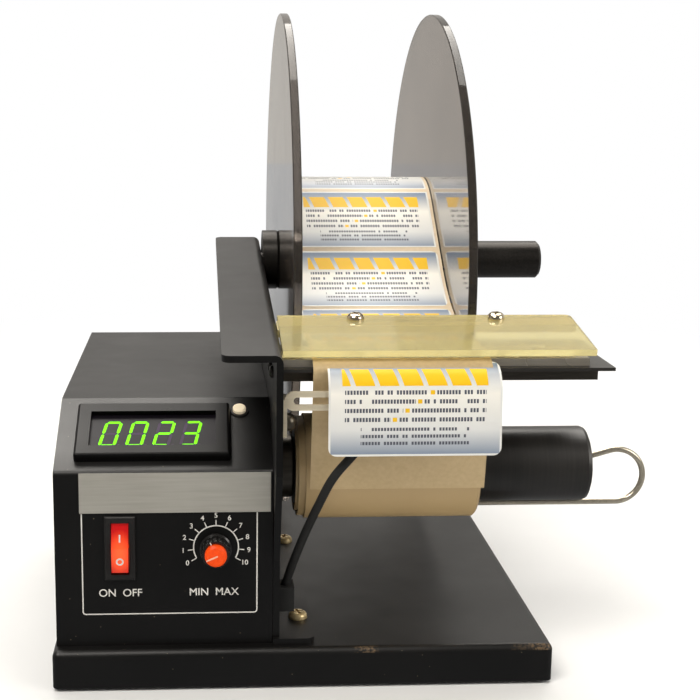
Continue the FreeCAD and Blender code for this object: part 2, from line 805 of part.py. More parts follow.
def build_rear_panel():
    """Rear panel set inside the housing, with its mains inlet and fuse holder; gives its screws."""
    panel_y = "housing_rear_y - housing_sheet"
    left = "housing_x + housing_sheet + housing_gap"
    panel = block("rear_blank", (left, panel_y, "deck_z"),
                  ("housing_wide - housing_sheet - 2 * housing_gap", "housing_sheet",
                   "housing_height - housing_sheet - housing_gap"))
    inlet_x, inlet_z = "housing_x + inlet_inset", "deck_z + inlet_foot_height"
    fuse_x, fuse_z = "housing_x + fuse_inset", inlet_z + " + inlet_tall / 2"
    inlet_hole = block("inlet_hole", (inlet_x, panel_y + " - cut_over", inlet_z),
                       ("inlet_width", "2 * cut_over", "inlet_tall"))
    fuse_hole = rod("fuse_hole", (fuse_x, panel_y + " - cut_over", fuse_z), "fuse_radius", "2 * cut_over", "+Y")
    corners = [
        (across, high)
        for across in (left + " + rear_case_inset", "plate_x - rear_case_inset")
        for high in ("deck_z + rear_case_inset", "housing_top_z - rear_case_inset")
    ]
    holes = [
        rod("rear_screw_hole", (across, panel_y + " - cut_over", high), "case_shank_radius", "2 * cut_over", "+Y")
        for across, high in corners
    ]
    keep("housing_rear_panel", cut("housing_rear_panel", panel, inlet_hole, fuse_hole, *holes))
    screws = [
        screw("rear_screw", (across, "housing_rear_y", high), "case", "+Y")
        for across, high in corners
    ]
    body = block("inlet_body", (inlet_x, "housing_rear_y - inlet_deep", inlet_z),
                 ("inlet_width", "inlet_deep", "inlet_tall"))
    rim = block("inlet_rim", (inlet_x + " - inlet_rim", "housing_rear_y", inlet_z + " - inlet_rim"),
                ("inlet_width + 2 * inlet_rim", "inlet_rim_rise", "inlet_tall + 2 * inlet_rim"))
    well = block("inlet_well", (
        inlet_x + " + inlet_wall", "housing_rear_y - inlet_deep + 2 * inlet_wall", inlet_z + " + inlet_wall"),
        ("inlet_width - 2 * inlet_wall", "inlet_deep + cut_over", "inlet_tall - 2 * inlet_wall"))
    socket = cut("inlet_socket", joined("inlet_whole", body, rim), well)
    keep("power_inlet", socket)
    pins = [
        rod("inlet_pin", (inlet_x + " + inlet_width * %g" % across,
                          "housing_rear_y - inlet_deep + 2 * inlet_wall",
                          inlet_z + " + inlet_tall * %g" % high),
            "inlet_pin_radius", "inlet_deep - 3 * inlet_wall", "+Y")
        for across, high in INLET_PIN_SHARES
    ]
    keep("inlet_pins", group("inlet_pins", *pins))
    keep("fuse_holder", turned("fuse_holder", [
        ("-fuse_deep", "0"), ("-fuse_deep", "fuse_radius * 0.8"), ("-fuse_deep / 2", "fuse_radius * 0.8"),
        ("-fuse_deep / 2", "fuse_radius"), ("0", "fuse_radius"), ("0", "fuse_cap_radius"),
        ("fuse_cap_tall / 4", "fuse_cap_radius"), ("fuse_cap_tall / 3", "fuse_radius"),
        ("fuse_cap_tall", "fuse_radius * 0.9"), ("fuse_cap_tall", "0"),
    ], (fuse_x, "housing_rear_y", fuse_z), "+Y"))
    return screws


INLET_PIN_SHARES = ((0.25, 0.38), (0.75, 0.38), (0.5, 0.66))


def build_front_controls():
    """Counter, reset button, name bar, power rocker and position knob."""
    rim_outer = slab("bezel_outer", "XY_Plane", [
        ("0", "0"), ("counter_width", "0"), ("counter_width", "counter_height"), ("0", "counter_height"),
    ], "bezel_rise", ("counter_x", "counter_up", "0"), PANEL)
    top = value("bezel_rise")
    rounded(rim_outer, "bezel_rise / 3", lambda edge: abs(middle(edge).z - top) < 1e-6 or runs_along(edge, "z"))
    well = slab("bezel_well_cut", "XY_Plane", [
        ("bezel_rim", "bezel_rim"), ("counter_width - bezel_rim", "bezel_rim"),
        ("counter_width - bezel_rim", "counter_height - bezel_rim"), ("bezel_rim", "counter_height - bezel_rim"),
    ], "bezel_rise + 2 * cut_over", ("counter_x", "counter_up", "-cut_over"), PANEL)
    sleeve = block("bezel_sleeve", (
        "counter_x + bezel_lead", "counter_up + bezel_lead", "-housing_sheet"),
        ("counter_width - 2 * bezel_lead", "counter_height - 2 * bezel_lead", "housing_sheet"), PANEL)
    keep("counter_bezel", cut("counter_bezel", joined("bezel_whole", rim_outer, sleeve), well))
    keep("counter_window", block("counter_window", (
        "counter_x + bezel_rim", "counter_up + bezel_rim", "bezel_rise - bezel_well - counter_window_sheet"),
        ("counter_width - 2 * bezel_rim", "counter_height - 2 * bezel_rim", "counter_window_sheet"), PANEL))
    shell = block("counter_shell", (
        "counter_x + bezel_lead", "counter_up + bezel_lead", "-housing_sheet - counter_deep"),
        ("counter_width - 2 * bezel_lead", "counter_height - 2 * bezel_lead", "counter_deep"), PANEL)
    keep("counter_body", shell)
    keep("reset_collar", turned("reset_collar", [
        ("-housing_sheet", "reset_radius + running_gap * 2"), ("-housing_sheet", "reset_body_radius"),
        ("0", "reset_body_radius"), ("0", "reset_collar_radius"),
        ("reset_collar_rise", "reset_collar_radius - reset_collar_rise / 2"),
        ("reset_collar_rise", "reset_radius + running_gap * 2"),
    ], ("reset_x", "reset_up", "0"), "+Z", PANEL))
    keep("reset_button", turned("reset_button", [
        ("-reset_stem_length", "0"), ("-reset_stem_length", "reset_radius"),
        ("reset_rise * 0.8", "reset_radius"), ("reset_rise", "reset_radius * 0.8"), ("reset_rise", "0"),
    ], ("reset_x", "reset_up", "0"), "+Z", PANEL))
    keep("reset_switch_body", turned("reset_switch_body", [
        ("-housing_sheet - reset_body_length", "0"),
        ("-housing_sheet - reset_body_length", "reset_body_radius"),
        ("-housing_sheet", "reset_body_radius"),
        ("-housing_sheet", "reset_radius + running_gap * 2"),
        ("-reset_stem_length - reset_travel - reset_collar_rise", "reset_radius + running_gap * 2"),
        ("-reset_stem_length - reset_travel - reset_collar_rise", "0"),
    ], ("reset_x", "reset_up", "0"), "+Z", PANEL))
    keep("name_bar", block("name_bar", ("bar_x", "housing_y - bar_sheet", "deck_z + bar_foot_height"),
                           ("bar_width", "bar_sheet", "bar_tall")))
    build_rocker()
    build_knob()


def build_rocker():
    """Snap-in switch: frame and case in one, and the rocker that tilts in it."""
    frame = slab("rocker_rim_solid", "XZ_Plane", [
        ("0", "0"), ("rocker_frame_width", "0"), ("rocker_frame_width", "rocker_frame_tall"),
        ("0", "rocker_frame_tall"),
    ], "rocker_frame_rise", ("rocker_x", "housing_y - rocker_frame_rise", "rocker_z"))
    rounded(frame, "rocker_frame_rise / 2", lambda edge: abs(middle(edge).y) < 1e-6)
    case = block("rocker_case", ("rocker_x + rocker_wall", "housing_y", "rocker_z + rocker_wall"),
                 ("rocker_frame_width - 2 * rocker_wall", "rocker_deep", "rocker_frame_tall - 2 * rocker_wall"))
    well = block("rocker_well", (
        "rocker_x + rocker_rim", "housing_y - rocker_frame_rise - cut_over", "rocker_z + rocker_end_rim"),
        ("rocker_frame_width - 2 * rocker_rim", "rocker_deep * 2 / 3 + cut_over",
         "rocker_frame_tall - 2 * rocker_end_rim"))
    pivots = rod("rocker_pivot_hole", (
        "rocker_pin_x - running_gap", "rocker_pivot_y", "rocker_mid_z"),
        "rocker_pin_radius + running_gap", "rocker_pin_span + 2 * running_gap", "+X")
    keep("rocker_frame", cut("rocker_frame", joined("rocker_housing", frame, case), well, pivots))
    # The rocker's face is a shallow V, so that either half lies level when it is pressed.
    face = "-rocker_root / 2 - rocker_frame_rise"
    slant = "rocker_half * tan(rocker_swing / 2)"
    body = slab("rocker_solid", "YZ_Plane", [
        (face + " - rocker_rise + " + slant, "0"),
        (face, "rocker_half"),
        ("rocker_root / 2", "rocker_half * 0.85"),
        ("rocker_root", "0"),
        ("rocker_root / 2", "-rocker_half * 0.85"),
        (face, "-rocker_half"),
    ], "rocker_wide", ("rocker_mid_x - rocker_wide / 2", "rocker_pivot_y", "rocker_mid_z"))
    # It rests with its upper half pressed.
    body.Placement = FreeCAD.Placement(V(), Turn(V(1, 0, 0), -value("rocker_swing / 2")))
    pin = rod("rocker_pin", ("rocker_pin_x", "rocker_pivot_y", "rocker_mid_z"),
              "rocker_pin_radius", "rocker_pin_span", "+X")
    keep("power_rocker", joined("power_rocker", body, pin))


def build_knob():
    """Fluted knob with its cap, and the potentiometer that it turns."""
    face = "housing_y"
    skirt = turned("knob_skirt_solid", [
        ("knob_gap", "knob_shaft_radius"), ("knob_gap", "knob_skirt_radius"),
        ("knob_gap + knob_skirt_tall * 0.2", "knob_skirt_radius"),
        ("knob_gap + knob_skirt_tall * 0.25", "knob_top_radius + knob_flute_radius / 2"),
        ("knob_gap + knob_skirt_tall", "knob_top_radius"),
        ("knob_gap + knob_skirt_tall", "knob_shaft_radius"),
    ], ("knob_x", face, "knob_z"), "-Y")
    flutes = []
    for number in range(FLUTES):
        angle = 360 * number / FLUTES
        flutes.append(rod("knob_flute", (
            "knob_x + (knob_top_radius + knob_flute_radius * 0.8) * cos(%g)" % angle,
            "%s - knob_gap - knob_skirt_tall * 0.3" % face,
            "knob_z + (knob_top_radius + knob_flute_radius * 0.8) * sin(%g)" % angle),
            "knob_flute_radius", "knob_skirt_tall", "-Y"))
    keep("position_knob", cut("position_knob", skirt, *flutes))
    keep("knob_cap", turned("knob_cap", [
        ("knob_gap + knob_skirt_tall", "0"), ("knob_gap + knob_skirt_tall", "knob_cap_radius"),
        ("knob_gap + knob_skirt_tall + knob_cap_tall * 0.7", "knob_cap_radius"),
        ("knob_gap + knob_skirt_tall + knob_cap_tall", "knob_cap_radius * 0.8"),
        ("knob_gap + knob_skirt_tall + knob_cap_tall", "0"),
    ], ("knob_x", face, "knob_z"), "-Y"))
    keep("potentiometer", turned("potentiometer", [
        ("-housing_sheet - pot_deep", "0"), ("-housing_sheet - pot_deep", "pot_radius"),
        ("-housing_sheet", "pot_radius"), ("-housing_sheet", "pot_bush_radius"),
        ("0", "pot_bush_radius"), ("0", "pot_nut_radius"), ("pot_nut_tall", "pot_nut_radius"),
        ("pot_nut_tall", "knob_shaft_radius + running_gap"),
        ("-housing_sheet - pot_deep / 2", "knob_shaft_radius + running_gap"),
        ("-housing_sheet - pot_deep / 2", "0"),
    ], ("knob_x", face, "knob_z"), "-Y"))
    keep("knob_shaft", rod("knob_shaft", ("knob_x", face + " + housing_sheet + pot_deep / 2 - running_gap * 2",
                                          "knob_z"),
                           "knob_shaft_radius",
                           "housing_sheet + pot_deep / 2 - running_gap * 2 + knob_gap + knob_skirt_tall", "-Y"))


FLUTES = 18


def build_inside():
    """Gearbox and motor on the plate, circuit board on standoffs, and transformer."""
    nose = rod("gearbox_nose", ("gearbox_x", "takeup_y", "takeup_z"), "gearbox_nose_radius", "gearbox_length", "+X")
    tail = rod("gearbox_tail", ("gearbox_x", "motor_y", "motor_z"), "gearbox_tail_radius", "gearbox_length", "+X")
    # The two outer tangent lines join nose and tail into one casing.
    run, drop = value("motor_y - takeup_y"), value("motor_z - takeup_z")
    reach = math.hypot(run, drop)
    lean = math.degrees(math.atan2(drop, run))
    open_angle = math.degrees(math.acos((value("gearbox_nose_radius - gearbox_tail_radius")) / reach))
    corners = []
    for centre, radius, turns in (("takeup", "gearbox_nose_radius", (1, -1)), ("motor", "gearbox_tail_radius", (-1, 1))):
        for turn in turns:
            angle = lean + turn * open_angle
            corners.append(("%s_y + %s * cos(%.6f)" % (centre, radius, angle),
                            "%s_z + %s * sin(%.6f)" % (centre, radius, angle)))
    waist = slab("gearbox_waist", "YZ_Plane", corners, "gearbox_length", ("gearbox_x", "0", "0"))
    bore = rod("gearbox_bore", ("plate_x - drive_blind", "takeup_y", "takeup_z"),
               "drive_radius + running_gap", "drive_blind + cut_over", "+X")
    keep("gearbox", cut("gearbox", joined("gearbox_whole", nose, tail, waist), bore))
    keep("drive_motor", turned("drive_motor", [
        ("0", "0"), ("0", "motor_radius"), ("motor_length * 0.88", "motor_radius"),
        ("motor_length * 0.92", "motor_radius * 0.94"), ("motor_length * 0.92", "motor_radius * 0.4"),
        ("motor_length", "motor_radius * 0.4"), ("motor_length", "0"),
    ], ("gearbox_x", "motor_y", "motor_z"), "-X"))
    board_x = "housing_x + (housing_wide - board_width) / 2"
    board = block("board_blank", (board_x, "front_y + board_back", "deck_z + board_standoff"),
                  ("board_width", "board_depth", "board_sheet"))
    keep("circuit_board", board)
    legs = [
        rod("standoff", (board_x + " + " + across, "front_y + board_back + " + along, "deck_z"),
            "standoff_radius", "board_standoff", "+Z")
        for across in ("2 * standoff_radius", "board_width - 2 * standoff_radius")
        for along in ("2 * standoff_radius", "board_depth - 2 * standoff_radius")
    ]
    keep("board_standoffs", group("board_standoffs", *legs))
    top = "deck_z + board_standoff + board_sheet"
    chips = [
        block("board_part", (board_x + " + board_width * %g" % across, "front_y + board_back + board_depth * %g" % along,
                             top),
              ("board_width * %g" % wide, "board_depth * %g" % deep, "board_standoff * %g" % tall))
        for across, along, wide, deep, tall in BOARD_PART_SHARES
    ]
    cans = [
        rod("board_can", (board_x + " + board_width * %g" % across,
                          "front_y + board_back + board_depth * %g" % along, top),
            "standoff_radius * %g" % wide, "board_standoff * %g" % tall, "+Z")
        for across, along, wide, tall in BOARD_CAN_SHARES
    ]
    keep("board_parts", group("board_parts", *(chips + cans)))
    core_x = "housing_x + (housing_wide - core_width) / 2"
    core = block("core_blank", (core_x, "front_y + core_back", "deck_z"), ("core_width", "core_depth", "core_tall"))
    keep("transformer_core", core)
    rise = "deck_z + (core_tall - winding_tall) / 2"
    coils = [
        block("winding", ("%s + (core_width - winding_width) / 2" % core_x, along, rise),
              ("winding_width", "winding_tall / 3", "winding_tall"))
        for along in ("front_y + core_back - winding_tall / 3", "front_y + core_back + core_depth")
    ]
    keep("transformer_winding", group("transformer_winding", *coils))


BOARD_PART_SHARES = ((0.16, 0.1, 0.2, 0.3, 1.6), (0.46, 0.12, 0.14, 0.28, 1.9), (0.12, 0.66, 0.5, 0.16, 1.1),
                     (0.7, 0.5, 0.16, 0.34, 1.2))
BOARD_CAN_SHARES = ((0.72, 0.24, 1.6, 2.2), (0.86, 0.24, 1.3, 1.8), (0.4, 0.56, 0.9, 1.3))


def build_takeup():
    """Bearing in the plate, driven roller, wound liner and the wire clip that holds it."""
    keep("takeup_bearing", turned("takeup_bearing", [
        ("-plate_sheet", "drive_radius + running_gap"), ("-plate_sheet", "bearing_spigot_radius"),
        ("0", "bearing_spigot_radius"), ("0", "bearing_radius"),
        ("bearing_length * 0.85", "bearing_radius"), ("bearing_length", "bearing_radius * 0.93"),
        ("bearing_length", "drive_radius + running_gap"),
    ], ("face_x", "takeup_y", "takeup_z")))
    keep("drive_shaft", rod("drive_shaft", ("plate_x - drive_blind + takeup_gap", "takeup_y", "takeup_z"),
                            "drive_radius",
                            "drive_blind + plate_sheet + bearing_length + drive_reach", "+X"))
    solid = turned("roller_solid", [
        ("0", "0"), ("0", "roller_radius"), ("roller_length - roller_edge", "roller_radius"),
        ("roller_length - roller_edge * 0.3", "roller_radius - roller_edge * 0.3"),
        ("roller_length", "roller_radius - roller_edge"),
        ("roller_length", "0"),
    ], ("roller_x", "takeup_y", "takeup_z"))
    shaft_bore = rod("roller_bore", ("roller_x - cut_over", "takeup_y", "takeup_z"),
                     "drive_radius", "drive_reach + cut_over", "+X")
    pin_bore = rod("clip_bore", ("roller_end_x - clip_pin_length - clip_neck_reach", "takeup_y",
                                 "takeup_z + clip_pin_offset"),
                   "wire_hole_radius", "clip_pin_length + clip_neck_reach + cut_over", "+X")
    keep("takeup_roller", cut("takeup_roller", solid, shaft_bore, pin_bore))
    # The wound liner's left end wanders a little from turn to turn.
    step = "(liner_roll_radius - roller_radius) / %d" % len(WANDER_SHARES)
    outline = [("liner_wander + web_width", "roller_radius")]
    for number, share in enumerate(WANDER_SHARES):
        radius = "roller_radius + %s * %d" % (step, number)
        outline.append(("liner_wander * %g" % share, radius))
        outline.append(("liner_wander * %g" % share, radius + " + " + step))
    outline.append(("liner_wander + web_width - %s" % step, "liner_roll_radius"))
    outline.append(("liner_wander + web_width", "liner_roll_radius - " + step))
    wound = turned("liner_solid", outline, ("roller_x", "takeup_y", "takeup_z"))
    channel = rod("liner_channel", ("roller_end_x - clip_leg_length - clip_neck_reach", "takeup_y",
                                    "takeup_z - clip_leg_drop"),
                  "wire_hole_radius", "clip_leg_length", "+X")
    keep("liner_roll", cut("liner_roll", wound, channel))
    build_clip()


WANDER_SHARES = (0.2, 0.75, 0.0, 0.5, 0.25, 0.9)


def build_clip():
    """Hairpin of round wire: one leg in the roller's end, the bow, and one leg along the roller."""
    end, axis_y, axis_z = value("roller_end_x"), value("takeup_y"), value("takeup_z")
    pin_z, leg_z = axis_z + value("clip_pin_offset"), axis_z - value("clip_leg_drop")
    bow = value("clip_bow_radius")
    bow_x, bow_z = end + value("clip_bow_reach"), leg_z + bow
    neck_x = end + value("clip_neck_reach")
    radius = value("wire_radius")
    # The neck leaves the pin's end for the bow along the bow's tangent.
    gap_x, gap_z = neck_x - bow_x, pin_z - bow_z
    reach = math.hypot(gap_x, gap_z)
    touch = math.atan2(gap_z, gap_x) - math.acos(bow / reach)
    touch_point = V(bow_x + bow * math.cos(touch), axis_y, bow_z + bow * math.sin(touch))
    foot = V(bow_x, axis_y, leg_z)
    crown_angle = (touch - math.pi / 2) / 2
    crown = V(bow_x + bow * math.cos(crown_angle), axis_y, bow_z + bow * math.sin(crown_angle))
    pin_start = V(end - value("clip_pin_length"), axis_y, pin_z)
    neck = V(neck_x, axis_y, pin_z)
    straight = [pin_start, neck, touch_point]
    bend = 3 * radius
    lead = route_wire(straight, lambda before, after, half: bend)
    arc = Part.Arc(touch_point, crown, foot).toShape()
    leg = Part.makeLine(foot, V(end - value("clip_leg_length"), axis_y, leg_z))
    path = Part.Wire(lead.Edges + [arc, leg])
    ring = Part.Wire([Part.makeCircle(radius, pin_start, V(1, 0, 0))])
    clip = doc.addObject("Part::Feature", "wire_clip")
    clip.Shape = Part.Solid(path.makePipeShell([ring], True, False).Shells[0])
    keep("wire_clip", clip)


def build_reel():
    """Fixed shaft and collar, inner disc with the label roll, outer disc with hub and thumb screw."""
    keep("reel_shaft", turned("reel_shaft", [
        ("-plate_sheet", "0"), ("-plate_sheet", "shaft_spigot_radius"), ("0", "shaft_spigot_radius"),
        ("0", "shaft_radius"), ("shaft_end_x - face_x - shaft_overhang + shaft_step_gap", "shaft_radius"),
        ("shaft_end_x - face_x - shaft_overhang + shaft_step_gap", "shaft_end_radius"),
        ("shaft_end_x - face_x - shaft_edge", "shaft_end_radius"),
        ("shaft_end_x - face_x", "shaft_end_radius - shaft_edge"), ("shaft_end_x - face_x", "0"),
    ], ("face_x", "reel_y", "reel_z")))
    keep("shaft_collar", turned("shaft_collar", [
        ("0", "shaft_radius"), ("0", "collar_radius"), ("collar_length - hub_edge / 2", "collar_radius"),
        ("collar_length", "collar_radius - hub_edge / 2"), ("collar_length", "shaft_radius"),
    ], ("face_x", "reel_y", "reel_z")))
    disc_outline = [
        ("0", "shaft_radius + running_gap"), ("0", "disc_radius - disc_edge"), ("disc_edge", "disc_radius"),
        ("disc_sheet - disc_edge", "disc_radius"), ("disc_sheet", "disc_radius - disc_edge"),
        ("disc_sheet", "shaft_radius + running_gap"),
    ]
    keep("inner_disc", turned("inner_disc", disc_outline, ("inner_disc_x", "reel_y", "reel_z")))
    keep("outer_disc", turned("outer_disc", disc_outline, ("outer_disc_x", "reel_y", "reel_z")))
    keep("label_core", turned("label_core", [
        ("0", "core_bore_radius"), ("0", "core_bore_radius + core_wall"),
        ("web_width", "core_bore_radius + core_wall"), ("web_width", "core_bore_radius"),
    ], ("web_x", "reel_y", "reel_z")))
    keep("label_roll", turned("label_roll", [
        ("0", "core_bore_radius + core_wall"), ("0", "roll_radius"),
        ("web_width", "roll_radius"), ("web_width", "core_bore_radius + core_wall"),
    ], ("web_x", "reel_y", "reel_z")))
    hub = turned("hub_solid", [
        ("0", "shaft_radius + running_gap"), ("0", "hub_radius"), ("hub_length - hub_edge", "hub_radius"),
        ("hub_length", "hub_radius - hub_edge"), ("hub_length", "shaft_radius + running_gap"),
    ], ("hub_x", "reel_y", "reel_z"))
    dip = value("thumb_dip")
    out = V(0, -math.cos(math.radians(dip)), -math.sin(math.radians(dip)))
    aim = Turn(V(1, 0, 0), out)
    keep("outer_hub", cut("outer_hub", hub, radial("thumb_hole", "shaft_radius - cut_over / 2", [
        ("0", "0"), ("0", "thumb_shank_radius + running_gap"),
        ("hub_radius", "thumb_shank_radius + running_gap"), ("hub_radius", "0")], out, aim)))
    start = "shaft_radius + running_gap * 4"
    stem = "hub_radius + thumb_gap - shaft_radius - running_gap * 4"
    knob = radial("thumb_solid", start, [
        ("0", "0"), ("0", "thumb_shank_radius"), (stem, "thumb_shank_radius"), (stem, "thumb_radius"),
        (stem + " + thumb_tall * 0.85", "thumb_radius"), (stem + " + thumb_tall", "thumb_radius * 0.85"),
        (stem + " + thumb_tall", "0"),
    ], out, aim)
    flutes = []
    for number in range(THUMB_FLUTES):
        flute = radial("thumb_flute", "hub_radius + thumb_gap - cut_over", [
            ("0", "0"), ("0", "thumb_flute_radius"), ("thumb_tall + 2 * cut_over", "thumb_flute_radius"),
            ("thumb_tall + 2 * cut_over", "0"),
        ], out, aim, 360 * number / THUMB_FLUTES)
        flutes.append(flute)
    keep("thumb_screw", cut("thumb_screw", knob, *flutes))


THUMB_FLUTES = 8


def radial(name, start, outline, out, aim, around=None):
    """Turned piece that stands out of the hub along the thumb screw's axis."""
    body = turned(name, outline, ("0", "0", "0"))
    distance = value(start)
    spot = V(value("thumb_x"), value("reel_y"), value("reel_z")) + out * distance
    if around is not None:
        side = aim.multVec(V(0, 1, 0)), aim.multVec(V(0, 0, 1))
        ring = value("thumb_radius + thumb_flute_radius / 3")
        turn = math.radians(around)
        spot += side[0] * (ring * math.cos(turn)) + side[1] * (ring * math.sin(turn))
    for prop in ("x", "y", "z"):
        body.setExpression("Placement.Base." + prop, None)
    body.Placement = FreeCAD.Placement(spot, aim)
    return body


def build_table():
    """Peel table on its bar, clear peel bar, sloping clear cover on its rear bar, and screws."""
    table = block("table_solid", ("face_x", "table_y", "table_z"), ("table_width", "table_depth", "table_sheet"))
    keep("peel_table", table)
    bar = block("rest_bar_solid", ("face_x", REST_BAR_Y, "table_z - rest_bar_tall"),
                ("rest_bar_width", "rest_bar_depth", "rest_bar_tall"))
    holes = [
        rod("rest_bar_tap", ("face_x - cut_over", along, REST_BAR_MIDDLE), "case_shank_radius",
            "case_shank_length + 2 * cut_over", "+X")
        for along in REST_BAR_SCREWS
    ]
    keep("table_bar", cut("table_bar", bar, *holes))
    screws = [
        screw("rest_bar_screw", ("plate_x", along, REST_BAR_MIDDLE), "case", "-X", LEVEL,
              "plate_sheet + case_shank_length")
        for along in REST_BAR_SCREWS
    ]
    keep("table_bar_screws", group("table_bar_screws", *screws))
    keep("peel_bar", block("peel_bar", ("clear_x", "table_y + peel_bar_setback", "table_top_z"),
                           ("peel_bar_width", "peel_bar_depth", "peel_bar_tall")))
    sheet = slab("cover_solid", "XY_Plane", [
        ("0", "0"), ("cover_width", "0"), ("cover_width", "cover_length"), ("0", "cover_length"),
    ], "cover_sheet", ("clear_x", "0", "0"), COVER)
    wide, long = value("cover_width"), value("cover_length")
    rounded(sheet, "cover_corner", lambda edge: runs_along(edge, "z") and middle(edge).x > wide - 1e-6
            and middle(edge).y > long - 1e-6)
    seats = ("clear_x + cover_screw_inset", "clear_x + cover_width - cover_screw_inset")
    up = "cover_length - cover_screw_setin"
    cover_holes = [
        rod("cover_hole", (across, up, "-cut_over"), "cover_shank_radius", "cover_sheet + 2 * cut_over", "+Z", COVER)
        for across in seats
    ]
    keep("clear_cover", cut("clear_cover", sheet, *cover_holes))
    rear = block("back_bar_solid", ("face_x", "cover_length - back_bar_depth", "-back_bar_tall"),
                 ("cover_width + clear_side_gap", "back_bar_depth", "back_bar_tall"), COVER)
    taps = [
        rod("back_bar_tap", (across, up, "-back_bar_tall - cut_over"), "cover_shank_radius",
            "back_bar_tall + 2 * cut_over", "+Z", COVER)
        for across in seats
    ]
    keep("cover_bar", cut("cover_bar", rear, *taps))
    heads = [
        screw("cover_screw", (across, up, "cover_sheet"), "cover", "+Z", COVER, "cover_sheet + back_bar_tall")
        for across in seats
    ]
    keep("cover_screws", group("cover_screws", *heads))


def build_web():
    """Label web from the roll to the peel bar, liner back to the take-up, and the peeled label."""
    level = value("web_z")
    start = V(0, value("table_y + peel_bar_setback"), level)
    meet = V(0, value("sag_y + sag_radius * tan(leave_angle / 2)"), level)
    keep("label_web", thin_strip("label_web", [start, meet, side_point("leave_y", "leave_z")],
                                 [value("sag_radius")], "web_sheet", "web_x", "web_width"))
    # The liner folds over the table's front edge and runs to the front of the take-up roll.
    fold = side_point("table_y - fold_reach", "table_top_z + fold_rise")
    away = side_point("takeup_y", "takeup_z") - fold
    ring = value("liner_roll_radius + web_sheet")
    turn = math.atan2(away.z, away.y) - math.asin(ring / away.Length)
    touch = fold + V(0, math.cos(turn), math.sin(turn)) * math.sqrt(away.Length ** 2 - ring ** 2)
    keep("liner_return", thin_strip("liner_return", [start, fold, touch], [value("fold_radius")],
                                    "web_sheet", "web_x", "web_width"))
    # The label's rear end still lies on the liner; the rest stands off along it and hangs.
    onward = (fold - start).normalize()
    lying = start + V(1, 0, 0).cross(onward) * value("-(web_sheet + label_sheet) / 2")
    top = lying + onward * value("label_lap")
    bend = top + onward * value("label_lead")
    bottom = side_point("front_y - label_bottom_reach", "deck_z + label_bottom_height")
    keep("peeled_label", thin_strip("peeled_label", [top, bend, bottom], [value("label_bend")],
                                    "label_sheet", "web_x + label_shift", "label_width"))


def build_sensor():
    """Slotted bracket on the plate, sensor that slides along it, and the cable to the gland."""
    strip = slab("strip_solid", "XZ_Plane", [
        ("0", "0"), ("bracket_length", "0"), ("bracket_length", "bracket_tall"), ("0", "bracket_tall"),
    ], "bracket_sheet", ("bracket_x", "bracket_y", "bracket_z"))
    rounded(strip, "bracket_tall * 0.49", lambda edge: runs_along(edge, "y"))
    slot_x = "bracket_x + slot_inset"
    slot_long = "bracket_length - 2 * slot_inset - slot_tall"
    slot = [
        block("slot_middle", (slot_x + " + slot_tall / 2", "bracket_y - cut_over", "slot_mid_z - slot_tall / 2"),
              (slot_long, "2 * cut_over", "slot_tall")),
        rod("slot_left", (slot_x + " + slot_tall / 2", "bracket_y - cut_over", "slot_mid_z"), "slot_tall / 2",
            "2 * cut_over", "+Y"),
        rod("slot_right", (slot_x + " + slot_tall / 2 + " + slot_long, "bracket_y - cut_over", "slot_mid_z"),
            "slot_tall / 2", "2 * cut_over", "+Y"),
    ]
    slotted = cut("strip_slotted", strip, *slot)
    ear = block("ear_solid", ("face_x", "bracket_y", "bracket_z - ear_drop"),
                ("ear_sheet", "ear_depth", "ear_drop + bracket_tall * 0.6"))
    ear_hole = rod("ear_tap", ("face_x - cut_over", "ear_screw_y", "ear_screw_z"), "case_shank_radius",
                   "2 * cut_over", "+X")
    keep("sensor_bracket", joined("sensor_bracket", slotted, cut("ear_drilled", ear, ear_hole)))
    keep("bracket_screw", turned("bracket_screw", [
        ("-ear_sheet - plate_sheet", "0"), ("-ear_sheet - plate_sheet", "case_shank_radius"),
        ("0", "case_shank_radius"), ("0", "ear_head_radius"), ("ear_head_height * 0.75", "ear_head_radius"),
        ("ear_head_height", "ear_head_radius * 0.8"), ("ear_head_height", "0"),
    ], ("face_x + ear_sheet", "ear_screw_y", "ear_screw_z")))
    body = slab("sensor_solid", "XZ_Plane", [
        ("0", "0"), ("sensor_width", "0"), ("sensor_width", "sensor_tall"), ("0", "sensor_tall"),
    ], "sensor_depth", ("sensor_x", "sensor_y", "sensor_z"))
    rounded(body, "sensor_depth / 6", lambda edge: runs_along(edge, "y"))
    mid = "sensor_x + sensor_width / 2"
    tap = rod("sensor_tap", (mid, "sensor_y - cut_over", "slot_mid_z"), "sensor_screw_radius",
              "cut_over + sensor_depth / 2", "+Y")
    keep("label_sensor", cut("label_sensor", body, tap))
    keep("sensor_screw", turned("sensor_screw", [
        ("-bracket_sheet - sensor_depth / 2", "0"), ("-bracket_sheet - sensor_depth / 2", "sensor_screw_radius"),
        ("0", "sensor_screw_radius"), ("0", "sensor_head_radius"),
        ("sensor_head_height * 0.5", "sensor_head_radius"), ("sensor_head_height", "sensor_head_radius * 0.5"),
        ("sensor_head_height", "0"),
    ], (mid, "bracket_y", "slot_mid_z"), "-Y"))
    keep("sensor_lens", rod("sensor_lens", (mid, "sensor_y", "sensor_z + sensor_tall * 0.28"), "lens_radius",
                            "lens_rise", "-Y"))
    cable = build_cable()
    block_of = block("boot_block", ("face_x", "front_y + boot_back", "deck_z + boot_height"),
                     ("boot_reach", "boot_depth", "boot_tall"))
    neck = rod("boot_neck", ("plate_x", BOOT_Y, BOOT_Z), "boot_neck_radius", "plate_sheet", "+X")
    keep("cable_boot", cut("cable_boot", joined("boot_whole", block_of, neck), cable))


